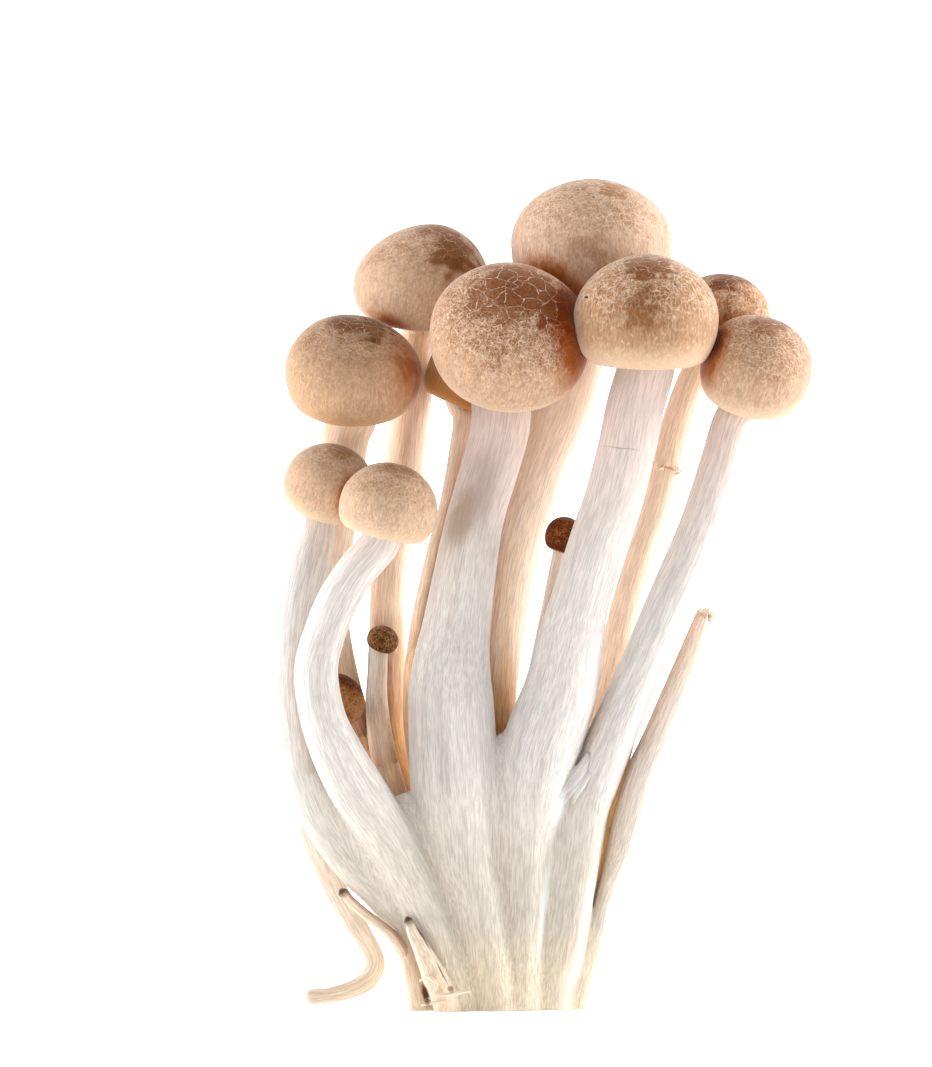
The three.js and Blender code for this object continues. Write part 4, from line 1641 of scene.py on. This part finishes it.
@dataclass(frozen=True)
class GillFinish:
    """The cream of the gill plates, darker towards the stem."""

    name: str
    pale: Colour = shade(242, 226, 198)
    deep: Colour = shade(214, 178, 134)

    def make(self) -> Material:
        """Builds the material."""
        material, nodes, shader = new_material(self.name)
        patch = nodes.noise(nodes.spot(), 900.0, 2.0)
        inwards = nodes.ease(nodes.value("along"), 0.6, 0.25)
        share = nodes.math("ADD", inwards, nodes.math("SUBTRACT", patch, 0.5), True)
        nodes.feed(shader.inputs["Base Color"], nodes.mix(share, self.pale, self.deep))
        nodes.feed(shader.inputs["Roughness"], nodes.ease(patch, 0.3, 0.7, (0.55, 0.7)))
        return material


@dataclass(frozen=True)
class SoftBox:
    """A large soft lamp."""

    name: str
    place: Triple
    size: float
    power: float
    colour: Triple = (1.0, 1.0, 1.0)

    def build(self, target: Vector) -> None:
        """Hangs the lamp, facing the target."""
        lamp = bpy.data.lights.new(self.name, "AREA")
        lamp.shape = "DISK"
        lamp.size = self.size
        lamp.energy = self.power
        lamp.color = self.colour
        hung = placed(self.name, lamp)
        hung.location = self.place
        hung.rotation_euler = (target - Vector(self.place)).to_track_quat("-Z", "Y").to_euler()


@dataclass
class Studio:
    """The pale floor, the soft light and the camera, in metres."""

    look_at: Triple = (-0.00476, 0.0, 0.0664)
    distance: float = 1.2
    view_height: float = 0.1494  # height of the picture where the cluster stands
    sensor: float = 36.0
    ambient: Pair = (0.2, 0.7)  # from the viewer's side, and from behind
    bend_steps: int = 12  # faces in the floor's curve
    lamps: tuple[SoftBox, ...] = (
        SoftBox("left_box", (-0.8, 0.12, 0.25), 0.6, 5.8),
        SoftBox("right_box", (0.8, 0.14, 0.25), 0.6, 9.8),
        SoftBox("top_box", (-0.1, -0.15, 0.95), 0.4, 1.3),
        SoftBox("front_box", (-0.4, -0.85, 0.6), 0.3, 1.5),
    )

    def build(self) -> None:
        """Makes the floor, the world, the lamps and the camera."""
        self.build_floor()
        self.build_world()
        for lamp in self.lamps:
            lamp.build(Vector((0, 0, 0.07)))
        self.build_camera()
        bpy.context.scene.view_settings.view_transform = "Standard"

    def build_floor(self) -> None:
        """A wide floor that curves up into a back wall."""
        half, bend, far, top = 2.5, 0.5, 1.6, 2.4
        drop = 0.05 * METRES  # keeps the floor out of the cut
        rows = [(-2.2, 0.0), (0.3, 0.0), (far - bend, 0.0)]
        for step in range(1, self.bend_steps + 1):
            angle = step / self.bend_steps * QUARTER_TURN
            rows.append((far - bend + bend * math.sin(angle), bend - bend * math.cos(angle)))
        rows.append((far, top))
        points = [(side * half, row[0], row[1] - drop) for row in rows for side in (-1, 1)]
        faces = [(2 * n, 2 * n + 1, 2 * n + 3, 2 * n + 2) for n in range(len(rows) - 1)]
        mesh = bpy.data.meshes.new("floor")
        mesh.from_pydata(points, [], faces)
        mesh.shade_smooth()
        material, nodes, shader = new_material("floor white", {"Emission Color": (1, 1, 1, 1)})
        cloud = nodes.noise(nodes.spot(), 3.0, 2.0)
        nodes.feed(shader.inputs["Base Color"], nodes.mix(cloud, shade(250, 250, 250), shade(246, 246, 246)))
        nodes.feed(shader.inputs["Roughness"], nodes.ease(cloud, 0.3, 0.7, (0.75, 0.85)))
        away = nodes.add("VectorMath", {0: nodes.spot()}, operation="LENGTH").outputs["Value"]
        nodes.feed(shader.inputs["Emission Strength"], nodes.ease(away, 0.1, 0.9, (0.3, 1.0)))
        mesh.materials.append(material)
        floor = placed("floor", mesh)

    def build_world(self) -> None:
        """Even white light all round, and a white background."""
        world = bpy.data.worlds.new("white")
        world.use_nodes = True
        nodes = Nodes(world.node_tree)
        back = world.node_tree.nodes["Background"]
        seen = nodes.add("LightPath").outputs["Is Camera Ray"]
        back.inputs["Color"].default_value = (1, 1, 1, 1)
        away = nodes.parts(nodes.add("TexCoord").outputs["Generated"])[1]
        light = nodes.ease(away, -0.8, 0.5, self.ambient)
        nodes.feed(back.inputs["Strength"], nodes.math("MAXIMUM", light, seen))
        bpy.context.scene.world = world

    def build_camera(self) -> None:
        """A level camera that looks along +Y."""
        data = bpy.data.cameras.new("camera")
        data.sensor_width = self.sensor
        data.lens = self.sensor * self.distance / self.view_height
        data.clip_end = 20
        camera = placed("camera", data)
        camera.location = (self.look_at[0], -self.distance, self.look_at[2])
        camera.rotation_euler = (QUARTER_TURN, 0, 0)
        bpy.context.scene.camera = camera


CAPS = {
    cap.name: cap for cap in (
        # the centre cap's second patch, on its right flank beside the right_centre cap, is painted shade
        Cap("centre", (1.3, -6.3, 94.0), 11.3, 0.81, 0.6, (0.15, -0.66, 0.75), 1,
            (Stain(0.4, 98.4, 5.6, 2.8, 0.7), Stain(7.4, 97.8, 3.2, 3.6, 1.0)), shade_width=7.0),
        Cap("right_centre", (20.35, -10.5, 96.6), 10.05, 0.86, 0.66, (0.02, -0.15, 1), 2,
            (Stain(20.4, 103.5, 2.9, 1.9, 1.2), Stain(19.8, 96.8, 2.9, 2.7, 0.7)), fullness=1.9,
            shade_width=2.4),
        Cap("top", (12.9, 8.0, 107.4), 11.45, 0.79, 0.72, (0, -0.12, 1), 3,
            (Stain(15.8, 114.6, 2.4, 1.1, 0.9), Stain(11.8, 106.2, 2.2, 2.0, 0.5)), fullness=1.92,
            shade_width=5.0),
        Cap("left", (-20.6, 1.5, 89.1), 9.6, 0.82, 0.56, (0, -0.42, 0.9), 4,
            (Stain(-18.5, 95.4, 3.4, 1.7, 1.1),), fullness=1.85, skew=-0.1, shade_width=9.0),
        Cap("back_left", (-11.0, 12.5, 101.2), 9.8, 0.93, 0.45, (0.05, -0.28, 0.95), 5,
            (Stain(-6.6, 105.3, 2.9, 3.2, 1.0), Stain(-8.7, 109.0, 2.2, 0.9, 0.9)), fullness=1.9, skew=0.14),
        Cap("back_right", (31.5, 4.5, 97.4), 6.5, 0.85, 0.7, (0.15, -0.2, 0.97), 6,
            (Stain(31.4, 101.2, 2.6, 1.3, 1.0),)),
        Cap("right", (35.7, -6.5, 89.7), 7.77, 0.91, 0.72, (0.22, -0.42, 0.88), 7,
            (Stain(36.4, 95.5, 1.7, 1.0, 0.9), Stain(39.5, 95.3, 1.4, 0.9, 0.9))),
        Cap("small_back", (-23.8, -5.5, 73.5), 6.2, 0.88, 0.7, (0.3, -0.35, 0.88), 8, shade_width=2.2),
        Cap("small_front", (-15.5, -14.0, 69.9), 6.9, 0.92, 0.56, (0.24, -0.1, 0.98), 9,
            (Stain(-14.7, 75.4, 3.0, 1.0, 0.6),)),
        Cap("hidden", (-4.5, 7.8, 89.0), 5.7, 0.85, 0.85, (0.42, 0, 0.9), 10),
        Cap("dark_right", (8.95, -2.9, 66.1), 2.65, 1.0, 0.85, (0.3, -0.15, 0.92), 11, young=True, rim=0.52,
            sides=72),
        Cap("dark_left", (-16.45, 3.0, 51.5), 2.25, 0.85, 0.6, (0.36, -0.3, 0.88), 12, young=True, sides=72),
        Cap("low_brown", (-22.8, -2.2, 43.1), 3.9, 0.95, 0.7, (0.5, -0.1, 0.85), 13, young=True, sides=96),
    )
}

# Caps that press on a neighbour: the first is dented by the others.
PRESSED = {
    "centre": ["right_centre"],
    "top": ["centre", "right_centre"],
    "back_left": ["left"],
    "back_right": ["right"],
    "right": ["right_centre"],
    "small_back": ["small_front"],
}
# Caps that take painted shade, darker and amber, where others stand close to them.
SHADED = {
    "centre": ["right_centre"],
    "right_centre": ["right"],
    "top": ["centre", "right_centre"],
    "left": ["centre", "hidden"],
    "back_left": ["left", "centre"],
    "back_right": ["right", "right_centre"],
    "right": ["right_centre"],
    "small_back": ["small_front"],
    "hidden": ["centre"],
}

STRANDS = {
    strand.name: strand for strand in (
        Strand("centre", [
            (-0.3, -5.6, -2, 3.0), (-0.6, -5.6, 4, 3.1), (-1.6, -5.6, 9, 3.3), (-2.9, -5.6, 15, 3.9),
            (-5.0, -5.6, 22, 5.0), (-6.2, -5.6, 30, 6.2), (-6.6, -5.5, 37, 6.15), (-6.9, -5.2, 43, 6.0),
            (-6.8, -5.0, 48, 5.45), (-6.0, -4.6, 54, 4.75), (-4.1, -3.4, 65.5, 4.15), (-2.8, -2.7, 71, 4.0),
            (-1.0, -2.2, 77, 4.05), (0.1, -1.8, 82, 4.15),
        ], 37, 21, (0.0, 0.06, 0.12), cap=CAPS["centre"], sides=72),
        Strand("right_centre", [
            (3.0, -5.0, -2, 2.6), (3.4, -5.0, 7, 2.8), (3.6, -5.0, 15, 3.1), (3.5, -5.1, 22, 3.7),
            (4.4, -5.3, 29, 4.8), (5.85, -5.6, 37, 5.45), (8.4, -6.0, 44.5, 5.15), (9.8, -6.6, 51.5, 4.6),
            (11.1, -7.2, 57, 4.1), (13.6, -8.2, 65.5, 3.9), (15.6, -8.9, 71, 3.95), (17.5, -9.6, 78, 4.0),
            (18.7, -10.0, 84, 4.0),
        ], 37, 22, (0.0, 0.0, 0.08), cap=CAPS["right_centre"], sides=72),
        Strand("top", [
            (0.5, 1.5, -2, 3.4), (0.3, 1.6, 8, 3.4), (-0.4, 1.9, 18, 3.5), (-1.0, 2.2, 28, 3.6),
            (-1.4, 3.2, 37, 3.6), (-1.4, 3.5, 43, 3.7), (-0.3, 3.9, 54, 3.9), (1.8, 5.0, 65.5, 4.0),
            (3.6, 5.6, 71, 3.95), (5.7, 6.2, 77, 3.8), (9.0, 7.2, 85, 4.0), (11.4, 7.9, 94, 3.85),
        ], 37, 23, (0.95, 0.42, 0.5), cap=CAPS["top"], sides=64),
        Strand("left", [
            (-7.0, 0.8, -2, 2.8), (-8.0, 0.9, 8, 2.9), (-11.5, 1.4, 18, 3.0), (-16.0, 2.6, 28, 3.1),
            (-19.6, 4.1, 36, 3.2), (-22.3, 5.3, 43, 3.2), (-24.2, 5.3, 52, 3.2), (-24.4, 5.1, 58, 3.25),
            (-23.8, 4.9, 66, 3.3), (-22.8, 4.7, 74, 3.4), (-21.7, 4.6, 80, 3.4),
        ], 37, 24, (0.78, 0.5, 0.8), cap=CAPS["left"]),
        Strand("back_left", [
            (-4.0, 4.5, -2, 2.6), (-5.0, 4.6, 8, 2.6), (-8.5, 5.0, 18, 2.6), (-12.0, 5.8, 28, 2.6),
            (-15.0, 7.3, 36, 2.6), (-15.7, 7.8, 43, 2.6), (-15.9, 8.2, 51.5, 2.55), (-15.9, 8.5, 58.5, 2.35),
            (-15.0, 10.0, 67, 2.6), (-13.4, 11.5, 76.7, 2.85), (-12.5, 12.6, 85, 2.8), (-12.1, 13.3, 91, 2.6),
        ], 37, 25, (0.9, 0.52, 0.68), cap=CAPS["back_left"]),
        Strand("back_right", [
            (5.0, 1.5, -2, 2.6), (6.0, 1.6, 8, 2.6), (8.0, 1.8, 18, 2.5), (10.5, 2.2, 28, 2.4),
            (13.3, 2.6, 37, 2.3), (15.4, 2.9, 46, 2.2), (17.9, 3.3, 57, 2.1), (22.3, 3.9, 71, 2.05),
            (24.4, 4.2, 79.5, 2.35), (27.3, 4.7, 88, 2.25),
        ], 37, 26, (0.8, 0.5, 0.55), cap=CAPS["back_right"]),
        Strand("right", [
            (7.4, -4.0, -2, 2.2), (7.7, -4.0, 3, 2.3), (8.9, -4.0, 7, 2.4), (9.8, -4.0, 12, 2.6),
            (10.6, -4.0, 17, 2.7), (12.0, -4.1, 27, 3.0), (13.2, -4.2, 32, 3.4), (15.1, -4.4, 37, 3.3),
            (19.2, -4.8, 47, 2.9), (23.5, -5.1, 57, 3.0), (27.0, -5.3, 65.5, 2.8), (29.0, -5.4, 71, 2.8),
            (30.9, -5.2, 77, 2.8), (32.4, -4.8, 82, 2.75),
        ], 33, 27, (0.0, 0.0, 0.08), cap=CAPS["right"]),
        Strand("small_back", [
            (-9.3, -3.6, -2, 2.6), (-10.4, -3.6, 5, 2.6), (-13.1, -3.9, 11.1, 2.35),
            (-16.8, -5.0, 15.8, 2.35), (-20.8, -6.2, 20.2, 2.6), (-24.1, -7.0, 25.5, 3.0),
            (-26.6, -7.4, 31, 3.1), (-27.8, -7.4, 36, 3.0), (-28.8, -7.3, 45, 2.85),
            (-28.0, -6.8, 55, 2.85), (-26.8, -5.9, 61, 2.85), (-25.7, -4.7, 65.5, 2.65),
        ], 33, 28, (0.0, 0.0, 0.05), cap=CAPS["small_back"]),
        Strand("small_front", [
            (-5.2, -5.4, -2, 2.9), (-5.6, -5.6, 3, 2.9), (-7.8, -6.0, 8, 3.0), (-10.9, -6.8, 15, 3.3),
            (-14.3, -8.2, 22, 3.6), (-17.0, -9.6, 26.5, 3.7), (-19.9, -11.0, 31, 3.8),
            (-22.4, -12.2, 35.5, 3.6), (-24.6, -13.0, 41, 3.2), (-25.5, -13.3, 47.5, 3.05),
            (-24.2, -13.6, 53, 2.9), (-22.3, -13.8, 57.5, 2.85), (-19.7, -13.9, 61.5, 2.75),
        ], 32, 29, (0.0, 0.0, 0.0), cap=CAPS["small_front"], sides=64),
        Strand("hidden", [
            (-3.0, -1.0, -2, 2.2), (-5.0, -1.0, 10, 2.2), (-8.5, -1.0, 25, 2.4), (-10.8, -1.0, 37, 2.4),
            (-11.6, -0.8, 45, 2.0), (-11.3, 0.2, 51, 1.6), (-10.4, 0.7, 57, 1.45), (-8.4, 1.2, 65.5, 1.4),
            (-6.9, 2.2, 71, 1.45), (-5.7, 4.4, 78, 1.45), (-5.2, 6.3, 82.5, 1.45),
        ], 50, 30, (0.85, 0.55, 0.5), cap=CAPS["hidden"], sides=40),
        Strand("dark_right", [
            (2.6, 1.2, 28, 0.9), (3.2, 0.9, 38, 0.9), (4.6, -0.5, 46, 0.85), (5.8, -2.0, 52, 0.85),
            (6.8, -2.8, 57, 0.8),
        ], 37, 31, (0.6, 0.4, 0.3), cap=CAPS["dark_right"], sides=28, neck=0.3),
        Strand("dark_left", [
            (-13.3, -0.6, 24, 1.9), (-15.7, -0.6, 33, 1.85), (-16.8, 0.3, 38, 1.75), (-17.3, 2.5, 43, 1.55),
            (-17.2, 3.1, 47, 1.4),
        ], 34, 32, (0.75, 0.3, 0.2), cap=CAPS["dark_left"], sides=36, neck=0.2),
        Strand("low_brown", [
            (-14.0, -0.5, 21, 1.6), (-17.0, -2.0, 27, 1.6), (-20.2, -3.0, 33, 1.6), (-22.4, -2.9, 36.5, 1.5),
        ], 33, 33, (1.0, 1.0, 0.9), cap=CAPS["low_brown"], sides=36),
        Strand("broken", [
            (10.4, -2.0, -2, 1.9), (11.2, -2.0, 3, 1.8), (12.7, -2.2, 8, 1.4), (14.0, -2.4, 13.7, 1.15),
            (15.3, -2.5, 18, 1.25), (16.9, -2.6, 22.8, 1.85), (18.2, -2.7, 27.7, 2.15),
            (20.0, -2.8, 33.2, 2.25), (21.9, -2.9, 37.7, 2.05), (24.2, -3.0, 43.5, 1.85),
            (26.5, -3.1, 49.4, 1.6), (28.5, -3.2, 55.1, 1.15),
        ], 12, 34, (0.15, 0.2, 0.5), Ending.TORN, sides=44),
        Strand("pin_left", [
            (-11.0, -5.4, -2, 1.6), (-12.2, -6.2, 4, 1.35), (-13.5, -6.8, 8, 1.05), (-15.0, -7.2, 10.3, 0.85),
            (-16.8, -7.2, 11.9, 0.75), (-18.9, -7.1, 13.5, 0.7), (-21.0, -7.0, 15.4, 0.65),
            (-22.3, -6.9, 16.9, 0.8),
        ], 9, 35, (0.5, 0.75, 0.6), Ending.DARK_TIP, sides=32),
        Strand("pin_front", [
            (-7.0, -8.4, -2, 1.9), (-8.0, -8.8, 2, 1.9), (-9.0, -9.2, 4.4, 1.8), (-9.9, -9.5, 6.5, 1.5),
            (-11.1, -9.7, 9, 1.15), (-12.1, -9.7, 10.9, 0.85), (-13.0, -9.6, 13.2, 0.6),
        ], 5, 36, (0.35, 0.35, 0.3), Ending.DARK_TIP, sides=32),
    )
}

# Strands of the foot that have grown together
WEBS = (
    Web("small_back", "small_front", 29.5, 0.85, 0.8),
    Web("small_front", "centre", 30.0, 0.8, 1.9),
    Web("centre", "right_centre", 38.0, 0.8, 1.0),
    Web("right_centre", "right", 30.5, 0.85, 1.0),
    # this web's amber is painted shade deep in the gap beside the broken stem
    Web("right", "broken", 28.5, 0.75, 1.8, warmth_and_shade=1.0),
)

CURL = [
    (-28.2, -2.6, 33.5, 0.6), (-27.8, -2.1, 29.5, 1.3), (-27.0, -1.8, 26.5, 1.5), (-25.4, -1.6, 22, 1.7),
    (-23.1, -1.2, 16.8, 1.6), (-20.5, -1.0, 12.3, 1.5), (-18.4, -1.2, 8.8, 1.35), (-17.4, -1.6, 6.2, 1.3),
    (-18.6, -2.0, 3.9, 1.3), (-21.2, -2.4, 2.5, 1.2), (-24.1, -2.8, 1.9, 1.0), (-25.8, -2.9, 1.7, 1.05),
    (-26.7, -3.0, 1.7, 0.95), (-27.1, -3.0, 1.7, 0.55), (-27.2, -3.0, 1.7, 0.1),
]

FOOT_WISPS = [
    [(-11.2, -10.6, 4.3, 0.15), (-10.0, -11.4, 4.9, 0.25), (-9.0, -11.7, 4.0, 0.28), (-9.2, -11.6, 2.6, 0.2)],
    [(-10.4, -10.9, 1.7, 0.15), (-8.6, -11.8, 2.3, 0.3), (-6.4, -11.8, 2.6, 0.28), (-4.2, -11.0, 2.9, 0.12)],
    [(-10.9, -10.4, 0.9, 0.15), (-9.4, -11.4, 1.3, 0.26), (-7.8, -11.6, 1.5, 0.2), (-6.6, -11.2, 1.2, 0.1)],
    [(-8.4, -10.9, 6.4, 0.1), (-7.9, -11.2, 5.4, 0.18), (-8.2, -11.4, 4.4, 0.16), (-7.6, -11.3, 3.4, 0.08)],
]

# A torn flap of flesh between two stems of the foot, and flesh set deep in the gap beside it, whose amber is
# painted shade
FLAP = [
    [(12.4, -6.9, 35.8, 0.4), (11.2, -7.7, 33.6, 0.75), (9.7, -8.3, 31.4, 0.7), (8.2, -8.6, 29.6, 0.15)],
    [(12.0, -7.2, 34.0, 0.4), (10.7, -7.9, 32.0, 0.7), (9.6, -8.3, 30.3, 0.5), (8.9, -8.4, 28.8, 0.1)],
    [(12.6, -7.2, 33.4, 0.4), (11.4, -7.8, 31.6, 0.6), (10.4, -8.0, 29.9, 0.4), (10.0, -8.0, 28.6, 0.1)],
    [(10.6, -7.5, 34.0, 0.3), (9.6, -8.0, 33.0, 0.4), (8.6, -8.5, 32.0, 0.3), (7.9, -8.8, 31.2, 0.08)],
]
GAP_SHADE_FLESH = [
    [(15.0, -2.9, 25.5, 0.5), (16.4, -2.8, 30.5, 0.6), (17.7, -2.9, 35.0, 0.5), (18.8, -3.1, 38.5, 0.3),
     (19.5, -3.2, 40.5, 0.1)],
]

# Torn flesh round a crack of the thin stem at the back, and at the broken stem's tip
STEM_FRAYS = (
    Fray((23.2, 2.3, 75.6), (-0.15, -0.35, 0.9), 20, 1.5, 0.14, 1.7, 0.6, 73),
    Fray((24.6, 2.6, 75.0), (0.75, -0.3, 0.3), 10, 1.1, 0.12, 0.9, 0.5, 74),
    Fray((28.8, -3.3, 54.6), (0.25, -0.1, 1.0), 30, 1.2, 0.22, 0.8, 0.35, 75),
)

CAP_FINISHES = {
    finish.cap: finish for finish in (
        CapFinish("centre", shade(118, 54, 14), shade(144, 88, 42), shade(174, 126, 88),
            shade(206, 170, 140), crown_reach=0.32, net_reach=0.72, plate_size=2.8, netting=0.8),
        CapFinish("right_centre", shade(124, 62, 24), shade(146, 98, 48), shade(178, 134, 94),
            shade(182, 142, 108), crown_reach=0.12, net_reach=0.75, plate_size=1.9, mesh_size=1.05,
            netting=0.75, down=0.55, speck=(11.9, -12.0, 99.1)),
        CapFinish("top", shade(156, 106, 68), shade(168, 124, 86), shade(200, 160, 130),
            shade(214, 182, 158), crown_reach=0.08, net_reach=0.7, plate_size=2.0, mesh_size=0.9,
            contact_shade_tint=shade(204, 142, 84)),
        CapFinish("left", shade(112, 64, 26), shade(148, 100, 58), shade(176, 138, 108),
            shade(202, 164, 130), crown_reach=0.18, net_reach=0.5, plate_size=1.8, contrast=0.8,
            netting=0.45, margin=shade(206, 158, 106)),
        CapFinish("back_left", shade(128, 74, 34), shade(160, 114, 76), shade(188, 150, 118),
            shade(212, 178, 148), crown_reach=0.1, net_reach=0.55, plate_size=2.2, contrast=0.85,
            netting=0.55, down=0.45),
        CapFinish("back_right", shade(116, 54, 22), shade(148, 94, 54), shade(180, 132, 92),
            shade(214, 174, 132), crown_reach=0.28, net_reach=0.9, plate_size=2.0, netting=0.7),
        CapFinish("right", shade(130, 74, 38), shade(158, 108, 68), shade(178, 136, 102),
            shade(202, 168, 138), crown_reach=0.18, net_reach=0.7, plate_size=2.0, down=0.5),
        CapFinish("small_back", shade(146, 100, 62), shade(166, 124, 90), shade(192, 156, 126),
            shade(206, 172, 142), crown_reach=0.2, net_reach=0.5, plate_size=1.3, mesh_size=0.6,
            contrast=0.9, netting=0.45),
        CapFinish("small_front", shade(130, 80, 42), shade(168, 124, 86), shade(190, 152, 120),
            shade(212, 180, 150), crown_reach=0.28, net_reach=0.65, plate_size=1.3, mesh_size=0.6,
            contrast=1.0, netting=0.5),
        # the hidden cap's amber lines, margin and underside are painted shade from the centre cap in front of
        # it
        CapFinish("hidden", shade(126, 72, 32), shade(148, 96, 54), shade(172, 124, 82),
            shade(186, 134, 86), crown_reach=0.3, net_reach=0.9, plate_size=2.0, contrast=0.9,
            netting=0.6, line=shade(206, 160, 118), margin=shade(184, 126, 72), under=shade(196, 140, 84),
            down=0.05),
        CapFinish("dark_right", shade(46, 12, 2), shade(84, 34, 10), shade(62, 20, 4), shade(92, 38, 12),
            line=shade(196, 120, 66), margin=shade(92, 40, 14), under=shade(200, 170, 130),
            crown_reach=0.05, net_reach=1.3, plate_size=0.5, mesh_size=0.38, contrast=1.3, netting=0.55,
            down=0.02),
        CapFinish("dark_left", shade(44, 16, 3), shade(80, 42, 16), shade(58, 26, 7), shade(96, 52, 20),
            line=shade(206, 158, 108), margin=shade(100, 54, 20), under=shade(200, 170, 130),
            crown_reach=0.05, net_reach=1.3, plate_size=0.45, mesh_size=0.34, contrast=1.3, netting=0.7,
            down=0.02),
        CapFinish("low_brown", shade(62, 24, 3), shade(126, 74, 26), shade(156, 96, 42),
            shade(206, 150, 100), line=shade(206, 150, 100), margin=shade(196, 134, 72),
            under=shade(210, 176, 130), crown_reach=0.45, net_reach=1.1, plate_size=0.8, mesh_size=0.5,
            contrast=1.1, down=0.04),
    )
}


def build_caps(effects: Effects) -> None:
    """Makes every cap with its gills.

    Args:
        effects: The shared effects.
    """
    gill = GillFinish("gill cream").make()
    for name, cap in CAPS.items():
        neighbours = [CAPS[other] for other in PRESSED.get(name, [])]
        others = [CAPS[other] for other in SHADED.get(name, [])]
        skin = cap.build(CAP_FINISHES[name].make(effects), neighbours, others)
        settle(skin, "dark_cap" if cap.young else "cap", f"cap_{name}")
        if not cap.young:
            gills = Gills(cap, STRANDS[name].line[-1, 3]).build(gill)
            settle(gills, "cap", f"cap_{name}")


def build_stems(effects: Effects) -> None:
    """Makes the foot, the stems and the loose strips.

    Args:
        effects: The shared effects.
    """
    flesh = FleshFinish("stem flesh").make(effects)
    strands = list(STRANDS.values())
    webs = [web.strand(60 + number) for number, web in enumerate(WEBS)]
    foot_flesh = Foot(strands, webs).build(flesh)
    settle(foot_flesh, "foot", "foot")
    labels = {"broken": "broken_stem", "pin_left": "pin_left", "pin_front": "pin_front"}
    for name, strand in STRANDS.items():
        node = labels.get(name, f"stem_{name}")
        stretches = [(strand, strand.fork, None)]
        if name == "centre":
            hidden = STRANDS["hidden"]
            stretches.append((hidden, FOOT_TOP, hidden.fork))
        neighbours = [other for other in strands if other is not strand]
        settle(Stem(node, stretches, neighbours).build(flesh), "stem", node)
    curl = Fibres("curled_stem_strip", [CURL], warmth_and_shade=0.3, sides=28, flatness=0.55).build(flesh)
    settle(curl, "stem", "curled_stem")
    loose = FleshFinish("loose fibres", fibre_depth=0.00002, softness=0.0).make(effects)
    settle(Fibres("foot_wisps", FOOT_WISPS, warmth_and_shade=0.5).build(loose), "foot")
    settle(Fibres("foot_flap", FLAP, warmth_and_shade=0.0, sides=16, flatness=0.45).build(flesh), "foot")
    settle(Fibres("gap_shade_flesh", GAP_SHADE_FLESH, warmth_and_shade=0.95, sides=16).build(flesh), "foot")
    frays = [line for fray in STEM_FRAYS for line in fray.lines()]
    settle(Fibres("stem_frays", frays, warmth_and_shade=0.65).build(loose), "stem")


def main() -> None:
    """Builds the studio and the cluster."""
    logging.basicConfig(level=logging.INFO, format="%(message)s")
    Studio().build()
    effects = Effects()
    build_stems(effects)
    build_caps(effects)


if __name__ == "__main__":
    main()
